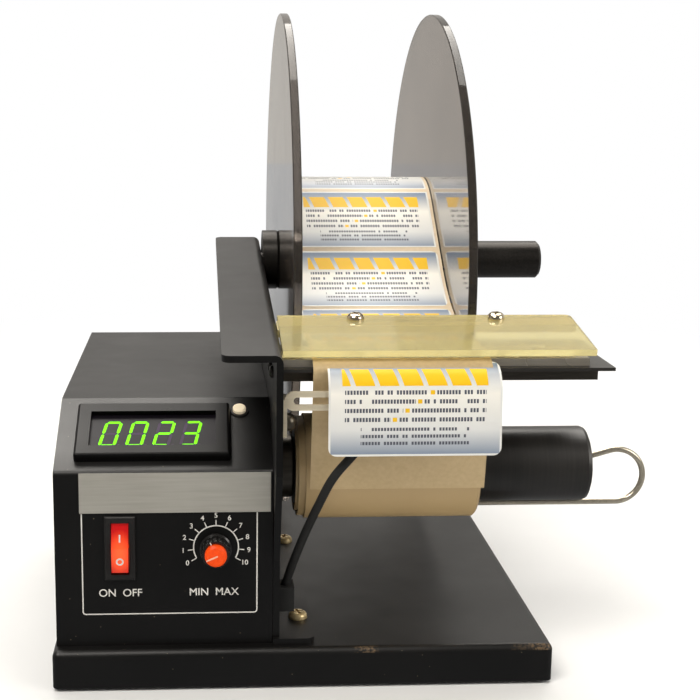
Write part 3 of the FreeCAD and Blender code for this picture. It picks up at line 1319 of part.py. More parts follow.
def build_cable():
    """Cable tube: runs joined by arcs as large as the two runs beside them allow."""
    right, front, deck = value("face_x"), value("front_y"), value("deck_z")
    points = [V(right + x, front + y, deck + z) for x, y, z in CABLE_ROUTE]
    outlet = V(value("sensor_x"), value("sensor_y + sensor_depth / 2"), value("sensor_z + cable_exit_height"))
    points[0] = V(points[0].x, outlet.y, outlet.z)
    points.insert(0, outlet)

    def widest(before, after, half):
        """Radius of 0.45 of the shorter run over the tangent of half the turn."""
        radius = 0.45 * min(before, after) / math.tan(half)
        print("cable radius", round(radius, 1), "runs", round(before, 1), round(after, 1))
        return radius

    path = route_wire(points, widest)
    radius = value("cable_radius")
    ring = Part.Wire([Part.makeCircle(radius, points[0], points[1] - points[0])])
    tube = Part.Solid(path.makePipeShell([ring], True, False).Shells[0])
    print("cable length", round(path.Length, 2), "volume ratio",
          round(tube.Volume / (math.pi * radius ** 2 * path.Length), 5))
    cable = doc.addObject("Part::Feature", "sensor_cable")
    cable.Shape = tube
    return keep("sensor_cable", cable)


def check_and_export():
    """Stop on anything failed, then write each sub-part to its own file."""
    doc.recompute()
    for thing in doc.Objects:
        if "Invalid" in thing.State or "Error" in thing.State:
            raise RuntimeError("%s (%s) is %s" % (thing.Name, thing.Label, thing.State))
    os.makedirs("parts", exist_ok=True)
    for name, thing in nodes.items():
        shape = thing.Shape
        if shape.isNull() or not shape.isValid() or not shape.Solids:
            raise RuntimeError(name + " has no valid solid")
        shape.exportStep("parts/%s.step" % name)
    print(len(nodes), "nodes")


fill_sheet()
build_base()
build_side_plate()
build_housing()
build_front_controls()
build_inside()
build_takeup()
build_reel()
build_table()
build_web()
build_sensor()
check_and_export()
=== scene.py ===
"""Looks of a bench-top label dispenser, built around its packed construction."""

import logging
import math
from collections.abc import Callable
from dataclasses import dataclass
from enum import Enum
from functools import reduce

import bpy
from mathutils import Matrix, Vector


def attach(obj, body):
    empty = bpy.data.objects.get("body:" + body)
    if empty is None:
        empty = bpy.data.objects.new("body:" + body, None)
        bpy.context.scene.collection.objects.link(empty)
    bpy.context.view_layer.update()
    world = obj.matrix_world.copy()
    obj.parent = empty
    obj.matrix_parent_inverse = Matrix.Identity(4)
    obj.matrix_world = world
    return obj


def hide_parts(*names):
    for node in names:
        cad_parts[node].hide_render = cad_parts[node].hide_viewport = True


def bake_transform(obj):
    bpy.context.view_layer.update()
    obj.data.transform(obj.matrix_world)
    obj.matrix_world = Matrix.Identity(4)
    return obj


LOG = logging.getLogger("label_dispenser")
MM = 0.001
MIDDLE = 139.35
CORNER = Vector((-MIDDLE, -165.35, 19.0))
PANEL_TILT = math.atan2(23.1, 45.4)
PANEL_FOOT = (7.0, 81.8)
ROLL_CENTRE = (201.0, 151.8)
TAKEUP_CENTRE = (35.0, 76.2)
LINER_LEFT, LINER_WIDE = 116.55, 79.4
LABEL_WIDE, LABEL_LONG, LABEL_PITCH = 76.2, 44.45, 47.6
LABEL_MARGIN = 1.6
Colour = tuple[float, float, float]
Socket = bpy.types.NodeSocket
Piece = bpy.types.Object

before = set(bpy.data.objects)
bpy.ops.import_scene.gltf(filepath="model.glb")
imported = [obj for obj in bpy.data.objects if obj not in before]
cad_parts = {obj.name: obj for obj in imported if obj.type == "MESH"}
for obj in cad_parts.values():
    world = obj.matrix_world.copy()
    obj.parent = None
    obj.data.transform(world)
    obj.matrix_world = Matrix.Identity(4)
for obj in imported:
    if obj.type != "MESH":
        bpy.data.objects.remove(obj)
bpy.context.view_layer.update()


def spot(x: float, y: float, z: float) -> Vector:
    """Point given from the base's front left corner and its deck, in mm, as a point of the frame."""
    return (Vector((x, y, z)) + CORNER) * MM


def on_panel(x: float, up: float, out: float) -> Vector:
    """Point on the sloping counter panel.

    Args:
        x: Distance from the base's left edge in mm.
        up: Distance up the slope from its foot in mm.
        out: Height above the panel in mm.

    Returns:
        The point in the frame.
    """
    lean, rise = math.cos(PANEL_TILT), math.sin(PANEL_TILT)
    return spot(x, PANEL_FOOT[0] + up * lean - out * rise, PANEL_FOOT[1] + up * rise + out * lean)


def srgb(red: int, green: int, blue: int) -> Colour:
    """Linear colour of a display colour from 0 to 255."""
    return tuple((c / 255 / 12.92) if c < 11 else ((c / 255 + 0.055) / 1.055) ** 2.4 for c in (red, green, blue))


# finishes


class Nodes:
    """Node tree, with short ways to add to it."""

    def __init__(self, tree: bpy.types.NodeTree) -> None:
        """Keep the tree that is added to."""
        self.tree = tree

    def add(self, kind: str, inputs: dict[int | str, object] | None = None, **settings: object) -> bpy.types.Node:
        """Add a node.

        Args:
            kind: Type of the node.
            inputs: What its inputs get, by their number or name.
            **settings: Values of its properties.

        Returns:
            The node.
        """
        node = self.tree.nodes.new(kind)
        for key, given in settings.items():
            setattr(node, key, given)
        for key, given in (inputs or {}).items():
            self.feed(node.inputs[key], given)
        return node

    def feed(self, socket: Socket, given: object) -> None:
        """Link a socket, or set its value.

        Args:
            socket: Socket that is fed.
            given: Output that it is linked to, or its value.
        """
        if isinstance(given, Socket):
            self.tree.links.new(given, socket)
        else:
            socket.default_value = given

    def maths(self, operation: str, *given: object, clamp: bool = False) -> Socket:
        """Result of one operation on outputs or numbers."""
        return self.add("ShaderNodeMath", dict(enumerate(given)), operation=operation, use_clamp=clamp).outputs[0]

    def product(self, *given: object) -> Socket:
        """Product of outputs or numbers."""
        return reduce(lambda total, one: self.maths("MULTIPLY", total, one), given)

    def minus(self, given: object, less: object) -> Socket:
        """Difference of two outputs or numbers."""
        return self.maths("SUBTRACT", given, less)

    def between(self, given: object, low: object, high: object) -> Socket:
        """One where a value lies between two limits, else zero."""
        return self.product(self.maths("GREATER_THAN", given, low), self.maths("LESS_THAN", given, high))

    def far(self, across: object, above: object) -> Socket:
        """Distance of a point that lies so far across and above."""
        return self.maths("SQRT", self.maths("ADD", self.product(across, across), self.product(above, above)))

    def ranged(self, *given: object, kind: str = "LINEAR") -> Socket:
        """Value, given first, brought from the range given next to the one given last."""
        found = self.add("ShaderNodeMapRange", dict(enumerate(given)), interpolation_type=kind, clamp=True)
        return found.outputs[0]

    def split(self, vector: Socket) -> bpy.types.NodeOutputs:
        """Three parts of a vector."""
        return self.add("ShaderNodeSeparateXYZ", {0: vector}).outputs

    def mix(self, factor: object, first: object, second: object) -> Socket:
        """Colour between two others."""
        pair = {n: (*given, 1.0) if isinstance(given, tuple) else given for n, given in ((6, first), (7, second))}
        return self.add("ShaderNodeMix", {0: factor, **pair}, data_type="RGBA").outputs[2]


class Graph(Nodes):
    """Node tree of one material, round its surface shader."""

    def __init__(self, name: str) -> None:
        """Start a material.

        Args:
            name: Name of the material.
        """
        self.material = bpy.data.materials.new(name)
        self.material.use_nodes = True
        super().__init__(self.material.node_tree)
        self.shader = next(n for n in self.tree.nodes if n.type == "BSDF_PRINCIPLED")

    def paint(self, name: str, given: object) -> None:
        """Feed one socket of the surface shader."""
        self.feed(self.shader.inputs[name], given)

    def place(self, stretch: Colour = (1.0, 1.0, 1.0)) -> Socket:
        """Coordinates of the piece itself, stretched along each axis."""
        own = self.add("ShaderNodeTexCoord").outputs["Object"]
        return self.add("ShaderNodeMapping", {"Vector": own, "Scale": stretch}).outputs[0]

    def noise(self, scale: float, stretch: Colour = (1.0, 1.0, 1.0), detail: float = 4.0) -> Socket:
        """Noise on the piece's own coordinates, with its scale per metre."""
        found = self.add("ShaderNodeTexNoise", {"Vector": self.place(stretch), "Scale": scale, "Detail": detail})
        return found.outputs[0]

    def spread(self, given: object, low: float, high: float) -> Socket:
        """Noise value brought to a range from low to high."""
        return self.ranged(given, 0.3, 0.7, low, high)

    def bump(self, height: object, strength: float) -> None:
        """Let a height value roughen the surface."""
        relief = self.add("ShaderNodeBump", {"Height": height, "Strength": strength, "Distance": 0.2 * MM})
        self.paint("Normal", relief.outputs[0])


@dataclass(frozen=True)
class Finish:
    """A surface: two colours between which it wanders, its gloss and its fine grain."""

    name: str
    colour: Colour
    second: Colour
    rough: tuple[float, float] = (0.4, 0.5)
    metallic: float = 0.0
    grain: float = 900.0
    stretch: Colour = (1.0, 1.0, 1.0)
    bump: float = 0.1
    smudge: float = 22.0
    specular: float = 0.5
    coat: float = 0.0
    clear: float = 0.0
    glow: float = 0.0
    dust: float = 0.0

    def make(self) -> bpy.types.Material:
        """Build the material once and hand it out from then on.

        Returns:
            The material.
        """
        found = bpy.data.materials.get(self.name)
        if found:
            return found
        graph = Graph(self.name)
        for name, given in (
            ("Metallic", self.metallic), ("Specular IOR Level", self.specular),
            ("Coat Weight", self.coat), ("Transmission Weight", self.clear),
        ):
            graph.paint(name, given)
        self.dress(graph)
        return graph.material

    def dress(self, graph: Graph) -> None:
        """Fine grain in the colour and relief, and broad smudges in the gloss.

        Args:
            graph: Node tree of the material.
        """
        fine = graph.noise(self.grain, self.stretch)
        broad = graph.noise(self.smudge, detail=3.0)
        both = graph.maths("ADD", graph.product(fine, 0.5), graph.product(broad, 0.5))
        colour = graph.mix(graph.spread(both, 0.0, 1.0), self.colour, self.second)
        if self.dust:
            cells = graph.add("ShaderNodeTexVoronoi", {"Vector": graph.place(), "Scale": 170.0})
            settled = graph.product(graph.maths("LESS_THAN", cells.outputs["Distance"], self.dust), fine)
            colour = graph.mix(settled, colour, srgb(150, 138, 118))
        self.cover(graph, colour, broad, fine)

    def cover(self, graph: Graph, colour: object, broad: Socket, relief: Socket) -> None:
        """Give the surface its colour, its light where it glows, its gloss and its relief.

        Args:
            graph: Node tree of the material.
            colour: Colour over the surface.
            broad: Noise that its gloss follows.
            relief: Height that its relief follows.
        """
        graph.paint("Base Color", colour)
        # emission: the light of real lamps in the lit lens and segments, and painted light on the knob cap and
        # reset button, which are no lamps
        if self.glow:
            graph.paint("Emission Color", colour)
            graph.paint("Emission Strength", self.glow)
        graph.paint("Roughness", graph.spread(broad, *self.rough))
        graph.bump(relief, self.bump)


@dataclass(frozen=True)
class LitLens(Finish):
    """Coloured lens with a lamp behind it: bright at the lamp and deep further off."""

    lamp: tuple[float, float] = (0.0, 0.0)
    reach: float = 0.011

    def dress(self, graph: Graph) -> None:
        """Glow that fades from the lamp's place, longer up and down than across.

        Args:
            graph: Node tree of the material.
        """
        part = graph.split(graph.place())
        across = graph.product(graph.minus(part[0], self.lamp[0]), 1.3)
        above = graph.product(graph.minus(part[2], self.lamp[1]), 0.8)
        fade = graph.ranged(graph.far(across, above), 0.0, self.reach, 0.0, 1.0, kind="SMOOTHSTEP")
        broad = graph.noise(self.smudge)
        depth = graph.maths("ADD", fade, graph.product(broad, 0.15), clamp=True)
        self.cover(graph, graph.mix(depth, self.colour, self.second), broad, graph.noise(self.grain))


@dataclass(frozen=True)
class GlowingEdge(Finish):
    """Tinted clear plate with a painted highlight on its cut front edge: the faces that look forward glow."""

    edge_glow: float = 0.3

    def dress(self, graph: Graph) -> None:
        """Clear faces, and a painted highlight, as glow, on the faces that look forward.

        Args:
            graph: Node tree of the material.
        """
        super().dress(graph)
        # painted highlight: faces that look forward glow in the plate's tint
        facing = graph.split(graph.add("ShaderNodeNewGeometry").outputs["True Normal"])[1]
        graph.paint("Emission Color", graph.mix(0.3, self.colour, self.second))
        graph.paint("Emission Strength", graph.product(graph.maths("LESS_THAN", facing, -0.7), self.edge_glow))


@dataclass(frozen=True)
class WornPaint(Finish):
    """Paint that is rubbed through in spots along one long edge."""

    edge: tuple[float, float] = (0.0, 0.0)
    reach: float = 0.00242
    bare: Colour = (0.2, 0.15, 0.1)

    def dress(self, graph: Graph) -> None:
        """Paint as elsewhere, with bare spots where hands and boxes touch the edge.

        Args:
            graph: Node tree of the material.
        """
        super().dress(graph)
        part = graph.split(graph.place())
        near = graph.product(
            graph.maths("LESS_THAN", graph.minus(part[1], self.edge[0]), self.reach),
            graph.maths("LESS_THAN", graph.minus(self.edge[1], part[2]), self.reach),
        )
        patch = graph.spread(graph.noise(34.0, (1.0, 0.3, 0.3), 6.0), -3.4, 1.9)
        fine = graph.spread(graph.noise(900.0), -0.6, 1.4)
        worn = graph.product(near, graph.maths("MAXIMUM", patch, 0.0), graph.maths("MAXIMUM", fine, 0.0))
        plain = graph.shader.inputs["Base Color"].links[0].from_socket
        graph.paint("Base Color", graph.mix(graph.maths("MINIMUM", worn, 1.0), plain, self.bare))


@dataclass(frozen=True)
class WoundPaper(Finish):
    """Paper wound in many turns round an axis along X, whose edges show as rings."""

    axis: tuple[float, float] = (0.0, 0.0)
    turn: float = 0.6
    outside: float = 1.0

    def dress(self, graph: Graph) -> None:
        """Rings round the axis, with each turn of a slightly other tone.

        Args:
            graph: Node tree of the material.
        """
        part = graph.split(graph.place())
        radius = graph.far(graph.minus(part[1], self.axis[0]), graph.minus(part[2], self.axis[1]))
        turns = graph.product(graph.maths("ADD", radius, graph.product(part[0], 0.35)), 1000.0 / self.turn)
        band = graph.add("ShaderNodeTexWhiteNoise", {"W": graph.maths("FLOOR", turns)}, noise_dimensions="1D")
        broad = graph.noise(self.smudge)
        edge = graph.maths("LESS_THAN", radius, self.outside)
        tone = graph.maths("ADD", graph.product(band.outputs[0], edge, 0.6), graph.product(broad, 0.4))
        relief = graph.product(graph.maths("FRACT", turns), edge)
        self.cover(graph, graph.mix(tone, self.colour, self.second), broad, relief)


@dataclass(frozen=True)
class LabelArt(Finish):
    """Label stock: a pale foil field with a row of slanted gold blocks and rows of small dashes, in mm."""

    liner: Colour = (0.5, 0.4, 0.3)
    margin: float = 0.9
    blocks: tuple[float, float] = (31.0, 39.6)
    ends: tuple[float, float] = (6.0, 70.0)
    block_pitch: float = 10.6
    block_share: float = 0.8
    block_lean: float = 0.3
    letter: float = 1.35
    letter_share: float = 0.7
    spaces: float = 0.16
    row_band: tuple[float, float] = (0.26, 0.72)
    first_dot: float = 29.0
    dot_step: float = 5.5
    dot_half: float = 0.95
    dot_room: float = 1.9

    def dress(self, graph: Graph) -> None:
        """Draw one label and its margins from the flat sheet's own coordinates.

        Args:
            graph: Node tree of the material.
        """
        part = graph.split(graph.add("ShaderNodeUVMap").outputs[0])
        across, up = part[0], graph.maths("WRAP", part[1], LABEL_PITCH, 0.0)
        paper, inner = (
            graph.product(graph.between(across, rim, LABEL_WIDE - rim), graph.between(up, rim, LABEL_LONG - rim))
            for rim in (0.0, self.margin)
        )
        slant = graph.maths("ADD", across, graph.product(up, self.block_lean))
        block = graph.maths("FRACT", graph.maths("DIVIDE", slant, self.block_pitch))
        gold = graph.product(
            graph.between(up, *self.blocks), graph.between(across, *self.ends),
            graph.maths("LESS_THAN", block, self.block_share),
        )
        dots, dashes = self.rows(graph, across, up)
        field = graph.mix(dashes, self.foil(graph, up), srgb(84, 88, 100))
        field = graph.mix(graph.maths("MAXIMUM", gold, dots), field, srgb(246, 196, 14))
        field = graph.mix(inner, srgb(232, 232, 228), field)
        broad = graph.noise(self.smudge)
        worn = graph.mix(graph.product(broad, 0.2), self.liner, srgb(196, 176, 142))
        self.cover(graph, graph.mix(paper, worn, field), broad, graph.noise(self.grain))
        graph.paint("Metallic", graph.product(paper, self.metallic))

    def foil(self, graph: Graph, up: Socket) -> Socket:
        """Silver field that darkens to its ends.

        Args:
            graph: Node tree that is added to.
            up: Distance up the label.

        Returns:
            Its colour.
        """
        ramp = graph.add("ShaderNodeValToRGB", {0: graph.maths("DIVIDE", up, LABEL_LONG)})
        stops = ((0.0, self.second), (0.26, self.colour), (0.62, srgb(250, 247, 238)), (0.94, self.second))
        for number, (where, tint) in enumerate(stops):
            stop = ramp.color_ramp.elements[number] if number < 2 else ramp.color_ramp.elements.new(where)
            stop.position, stop.color = where, (*tint, 1.0)
        return ramp.outputs[0]

    def rows(self, graph: Graph, across: Socket, up: Socket) -> tuple[Socket, Socket]:
        """Rows of small print: four with a dot each, and three below without.

        Args:
            graph: Node tree that is added to.
            across: Distance across the label.
            up: Distance up the label.

        Returns:
            The mask of the dots and the mask of the dashes.
        """
        dots, dashes = [], []
        for foot, step, rows, reach, dotted in ((14.2, 4.0, 4.0, 31.0, True), (4.2, 3.1, 3.0, 24.0, False)):
            line = graph.maths("DIVIDE", graph.minus(up, foot), step)
            row, letter = graph.maths("FLOOR", line), graph.maths("DIVIDE", across, self.letter)
            band = graph.between(graph.maths("FRACT", line), *self.row_band)
            bar = graph.product(graph.between(line, 0.0, rows), band)
            cell = graph.add("ShaderNodeCombineXYZ", {0: graph.maths("FLOOR", letter), 1: row})
            word = graph.add("ShaderNodeTexWhiteNoise", {"Vector": cell.outputs[0]}, noise_dimensions="2D")
            aside = graph.maths("ABSOLUTE", graph.minus(across, LABEL_WIDE / 2))
            shown = graph.product(
                bar, graph.maths("GREATER_THAN", word.outputs[0], self.spaces),
                graph.maths("LESS_THAN", aside, reach),
                graph.maths("LESS_THAN", graph.maths("FRACT", letter), self.letter_share),
            )
            if dotted:
                middle = graph.maths("ADD", self.first_dot, graph.product(row, self.dot_step))
                apart = graph.maths("ABSOLUTE", graph.minus(across, middle))
                shown = graph.product(shown, graph.maths("GREATER_THAN", apart, self.dot_room))
                dots.append(graph.product(bar, graph.maths("LESS_THAN", apart, self.dot_half)))
            dashes.append(shown)
        return dots[0], graph.maths("MAXIMUM", *dashes)


@dataclass(frozen=True)
class PaleFloor(Finish):
    """Pale floor that runs out into the white of the backdrop."""

    near: float = 0.32
    far_off: float = 0.85
    mirrored: tuple[float, float] = (0.1, 0.55)

    def dress(self, graph: Graph) -> None:
        """Matt near the object, and as white as the backdrop further off.

        Args:
            graph: Node tree of the material.
        """
        super().dress(graph)
        back = graph.ranged(graph.split(graph.place())[1], -0.6, 1.2, *self.mirrored)
        away = graph.add("ShaderNodeVectorMath", {0: graph.place()}, operation="LENGTH").outputs["Value"]
        edge = graph.ranged(away, self.near, self.far_off, 0.0, 1.0, kind="SMOOTHSTEP")
        ray = graph.add("ShaderNodeLightPath").outputs
        seen = graph.maths("MAXIMUM", ray["Is Camera Ray"], ray["Is Transmission Ray"])
        white = graph.add("ShaderNodeEmission", {"Strength": graph.maths("MAXIMUM", seen, back)})
        share = graph.maths("MAXIMUM", graph.product(edge, seen), ray["Is Glossy Ray"])
        both = graph.add("ShaderNodeMixShader", {0: share, 1: graph.shader.outputs[0], 2: white.outputs[0]})
        end = next(n for n in graph.tree.nodes if n.type == "OUTPUT_MATERIAL")
        graph.feed(end.inputs["Surface"], both.outputs[0])


ROLL_AXIS = tuple(spot(0, *ROLL_CENTRE).yz)
TAKEUP_AXIS = tuple(spot(0, *TAKEUP_CENTRE).yz)
ROCKER_LAMP = tuple(spot(30.9, 0, 44.6).xz)
FINISHES: dict[str, Finish] = {
    "black_paint": Finish(
        "satin_black_paint", srgb(7, 6, 6), srgb(12, 11, 10), (0.34, 0.46), grain=2600.0, bump=0.2, dust=0.04,
    ),
    "black_plate": Finish(
        "dark_plate_paint", srgb(34, 32, 30), srgb(46, 43, 40), (0.3, 0.42), grain=2200.0, bump=0.15,
    ),
    "rubber": Finish("foot_rubber", srgb(26, 26, 26), srgb(36, 36, 35), (0.75, 0.9), grain=1500.0, bump=0.3),
    "screw_steel": Finish(
        "plated_steel", srgb(240, 218, 168), srgb(214, 190, 140), (0.2, 0.35), 0.5, bump=0.05,
    ),
    "dark_screw": Finish("blackened_screw", srgb(46, 44, 42), srgb(66, 63, 60), (0.25, 0.4), 0.8, bump=0.08),
    "chrome": Finish(
        "bright_wire", srgb(228, 220, 202), srgb(202, 192, 172), (0.1, 0.2), 0.75, smudge=60.0, bump=0.03,
    ),
    "clear_disc": Finish(
        "smoked_acrylic", srgb(132, 124, 117), srgb(124, 116, 109), (0.04, 0.1), bump=0.01, clear=0.88,
        grain=80.0, specular=0.28,
    ),
    # the cover's front edge carries a painted highlight, as glow
    "clear_cover": GlowingEdge(
        "tinted_acrylic", srgb(232, 221, 168), srgb(224, 213, 158), (0.06, 0.12), bump=0.01, clear=0.72,
        grain=120.0,
    ),
    "steel_bar": Finish(
        "dark_ground_steel", srgb(84, 80, 74), srgb(112, 106, 98), (0.3, 0.42), 0.9, stretch=(0.06, 1, 1),
        bump=0.1,
    ),
    "aluminium": Finish(
        "brushed_aluminium", srgb(238, 226, 200), srgb(214, 202, 176), (0.28, 0.42), 0.45, stretch=(0.05, 1, 1),
        bump=0.08,
    ),
    "black_plastic": Finish(
        "moulded_black", srgb(22, 21, 21), srgb(34, 33, 32), (0.35, 0.5), grain=1600.0, bump=0.12,
    ),
    "gloss_black": Finish(
        "glossy_black", srgb(8, 8, 8), srgb(14, 13, 13), (0.26, 0.38), grain=400.0, bump=0.02, specular=0.16,
    ),
    "display": Finish(
        "display_filter", srgb(14, 11, 17), srgb(20, 16, 23), (0.3, 0.42), grain=700.0, bump=0.03,
        specular=0.15,
    ),
    "red_lens": LitLens(
        "lit_red_lens", srgb(255, 92, 44), srgb(168, 12, 14), (0.14, 0.24), grain=120.0, bump=0.02, coat=0.3,
        glow=0.5, lamp=ROCKER_LAMP,
    ),
    # the glow on the knob cap is painted light: the cap is no lamp
    "orange": Finish(
        "orange_cap", srgb(240, 80, 10), srgb(220, 58, 4), (0.35, 0.45), bump=0.05, specular=0.2, glow=0.15,
    ),
    # the glow on the reset button is painted light: the button is no lamp
    "beige": Finish("beige_button", srgb(252, 236, 204), srgb(242, 224, 190), (0.4, 0.5), bump=0.06, glow=0.25),
    "silver_bar": Finish(
        "satin_silver_bar", srgb(188, 186, 178), srgb(168, 165, 156), (0.3, 0.42), 0.35, stretch=(0.04, 1, 1),
        bump=0.08,
    ),
    "liner_paper": WoundPaper(
        "wound_liner", srgb(184, 158, 114), srgb(144, 120, 82), (0.45, 0.6), bump=0.15, axis=TAKEUP_AXIS,
        turn=0.5, outside=0.0242,
    ),
    "label_paper": WoundPaper(
        "wound_labels", srgb(226, 222, 210), srgb(180, 168, 146), (0.5, 0.65), bump=0.25, axis=ROLL_AXIS,
        turn=0.35,
    ),
    "card": WoundPaper(
        "card_core", srgb(164, 132, 92), srgb(142, 112, 76), (0.7, 0.85), bump=0.2, axis=ROLL_AXIS, turn=0.8,
    ),
    "green_board": Finish("board_green", srgb(24, 84, 48), srgb(18, 66, 38), (0.3, 0.45), bump=0.05),
    "copper": Finish(
        "wound_copper", srgb(184, 112, 62), srgb(150, 84, 44), (0.3, 0.4), 0.9, stretch=(1, 1, 0.1), bump=0.3,
    ),
    "brass": Finish("brass_pin", srgb(206, 176, 104), srgb(176, 148, 84), (0.2, 0.35), 1.0, bump=0.04),
}
BACKING = Finish("web_backing", srgb(232, 212, 180), srgb(216, 196, 164), (0.4, 0.55), grain=500.0, bump=0.06)
# liner paper darker than the web's backing: the paper's own colour with painted shade, as the strand runs down
# below the peel table
SHADED_STRAND = Finish("liner_strand", srgb(198, 174, 132), srgb(182, 158, 116), (0.4, 0.55), grain=500.0, bump=0.06)
FOIL = LabelArt(
    "printed_label", srgb(226, 227, 225), srgb(124, 140, 162), (0.32, 0.44), 0.15, bump=0.02, smudge=14.0,
    liner=srgb(238, 218, 186),
)
TURNED = Finish(
    "turned_black", srgb(20, 19, 18), srgb(42, 39, 36), (0.28, 0.38), stretch=(1.0, 0.02, 0.02), bump=0.3,
    specular=0.8,
)
RIBBED = Finish("ribbed_black_knob", srgb(18, 17, 17), srgb(34, 32, 31), (0.14, 0.24), bump=0.05, specular=0.8)
SCUFFED = WornPaint(
    "scuffed_black_paint", srgb(7, 6, 6), srgb(12, 11, 10), (0.34, 0.46), grain=2600.0, bump=0.2, dust=0.04,
    edge=tuple(spot(0, 0, 0).yz), bare=srgb(104, 84, 60),
)
CLEAR_STRIP = Finish(
    "pale_acrylic_strip", srgb(240, 228, 178), srgb(232, 219, 168), (0.1, 0.2), bump=0.01, clear=0.4,
    grain=120.0,
)
# painted highlight: the peel bar is ground steel in a lighter tone than the other steel bars, for the bright line
# along it
HIGHLIT_PEEL_STEEL = Finish(
    "highlit_ground_steel", srgb(196, 190, 180), srgb(172, 166, 156), (0.25, 0.36), 0.5, stretch=(0.06, 1, 1),
    bump=0.08,
)
BRIGHT_SCREW = Finish(
    "bright_domed_screw", srgb(240, 230, 208), srgb(222, 210, 186), (0.08, 0.16), 1.0, bump=0.03,
)
DULL_SCREW = Finish("dulled_steel_screw", srgb(112, 106, 94), srgb(84, 79, 70), (0.25, 0.4), 0.85, bump=0.08)
OWN: dict[str, Finish] = {
    "takeup_roller": TURNED,
    "position_knob": RIBBED,
    "base_plate": SCUFFED,
    "cover_bar": CLEAR_STRIP,
    "peel_bar": HIGHLIT_PEEL_STEEL,
}
WHITE_INK = Finish("white_ink", srgb(226, 224, 218), srgb(206, 204, 198), (0.5, 0.6), bump=0.05)
LIT = Finish("lit_segment", srgb(118, 236, 8), srgb(104, 224, 4), (0.5, 0.6), specular=0.1, glow=0.95)
UNLIT = Finish("unlit_segment", srgb(84, 70, 92), srgb(72, 60, 80), (0.5, 0.6), specular=0.1)
# painted highlight: a pale line for the lit edge of the knob cap's slot
SLOT_HIGHLIGHT = Finish("painted_slot_highlight", srgb(250, 190, 160), srgb(236, 170, 140), (0.4, 0.5))
FLOOR = PaleFloor(
    "studio_floor", (0.9, 0.9, 0.89), (0.87, 0.87, 0.86), (0.6, 0.75), grain=30.0, bump=0.02, smudge=0.7,
)

CARRIED: dict[str, tuple[str, ...]] = {
    "black_paint": ("base_plate", "side_plate", "control_housing", "housing_rear_panel"),
    "black_plate": ("peel_table",),
    "rubber": ("rubber_feet", "cable_boot"),
    "screw_steel": ("thumb_screw", "drive_shaft", "knob_shaft", "board_standoffs"),
    "dark_screw": ("housing_screws", "reel_shaft", "shaft_collar", "outer_hub"),
    "chrome": ("wire_clip",),
    "clear_disc": ("inner_disc", "outer_disc"),
    "clear_cover": ("clear_cover",),
    "steel_bar": ("table_bar", "peel_bar", "cover_bar", "transformer_core", "takeup_bearing"),
    "aluminium": ("sensor_bracket", "gearbox", "drive_motor"),
    "black_plastic": (
        "position_knob", "rocker_frame", "label_sensor", "power_inlet", "fuse_holder",
        "potentiometer", "counter_body", "reset_collar", "reset_switch_body", "board_parts",
    ),
    "gloss_black": ("counter_bezel",),
    "display": ("counter_window",),
    "red_lens": ("power_rocker", "sensor_lens"),
    "orange": ("knob_cap",),
    "beige": ("reset_button",),
    "silver_bar": ("name_bar",),
    "liner_paper": ("liner_roll",),
    "card": ("label_core",),
    "green_board": ("circuit_board",),
    "copper": ("transformer_winding",),
    "brass": ("inlet_pins",),
}


# modelling by hand


class Part(Enum):
    """Kind of mesh element that is picked."""

    CORNERS = "VERT"
    EDGES = "EDGE"
    FACES = "FACE"


def hold(piece: Piece) -> None:
    """Make a piece the only selected and the active one.

    Args:
        piece: Piece that is held.
    """
    if bpy.context.object and bpy.context.object.mode != "OBJECT":
        close()
    bpy.ops.object.select_all(action="DESELECT")
    piece.select_set(True)
    bpy.context.view_layer.objects.active = piece


def anywhere(place: Vector, along: Vector) -> bool:
    """Pick every element."""
    return True


def pick(piece: Piece, test: Callable[[Vector, Vector], bool] = anywhere, kind: Part = Part.FACES) -> None:
    """Open a piece for editing with some of its elements selected.

    Args:
        piece: Piece that is opened.
        test: Says from an element's place and its normal or direction whether it is selected.
        kind: Kind of element.
    """
    hold(piece)
    bpy.ops.object.mode_set(mode="EDIT")
    bpy.ops.mesh.select_mode(type=kind.value)
    bpy.ops.mesh.select_all(action="DESELECT")
    close()
    mesh = piece.data
    if kind is Part.FACES:
        for face in mesh.polygons:
            face.select = test(face.center, face.normal)
    elif kind is Part.EDGES:
        for edge in mesh.edges:
            first, second = (mesh.vertices[n].co for n in edge.vertices)
            edge.select = test((first + second) / 2, (second - first).normalized())
    else:
        for corner in mesh.vertices:
            corner.select = test(corner.co, corner.normal)
    bpy.ops.object.mode_set(mode="EDIT")


def close() -> None:
    """Leave edit mode."""
    bpy.ops.object.mode_set(mode="OBJECT")


def rim(thickness: float) -> None:
    """Leave only a rim of the picked face."""
    bpy.ops.mesh.inset(thickness=thickness)
    bpy.ops.mesh.delete(type="FACE")


def rounded(
    piece: Piece, radius: float, segments: int, test: Callable[[Vector, Vector], bool] = anywhere
) -> None:
    """Round the corners of a flat piece.

    Args:
        piece: Piece that is rounded.
        radius: Length that is cut back from a corner in metres.
        segments: Number of edges of each rounded corner.
        test: Says which corners are rounded.
    """
    pick(piece, test, Part.CORNERS)
    bpy.ops.mesh.bevel(offset=radius, segments=segments, affect="VERTICES")
    close()


def modify(piece: Piece, kind: str, **settings: object) -> None:
    """Add a modifier and apply it.

    Args:
        piece: Piece that is changed.
        kind: Type of the modifier.
        **settings: Values of its properties.
    """
    hold(piece)
    modifier = piece.modifiers.new("shape", kind)
    for key, given in settings.items():
        setattr(modifier, key, given)
    bpy.ops.object.modifier_apply(modifier=modifier.name)


def drop(piece: Piece) -> None:
    """Remove a helper that has served."""
    bpy.data.objects.remove(piece)


def moved(piece: Piece, *steps: Matrix) -> Piece:
    """Move a piece's mesh.

    Args:
        piece: Piece that is moved.
        *steps: Moves, in their order.

    Returns:
        The same piece.
    """
    for step in steps:
        piece.data.transform(step)
    piece.data.update()
    return piece


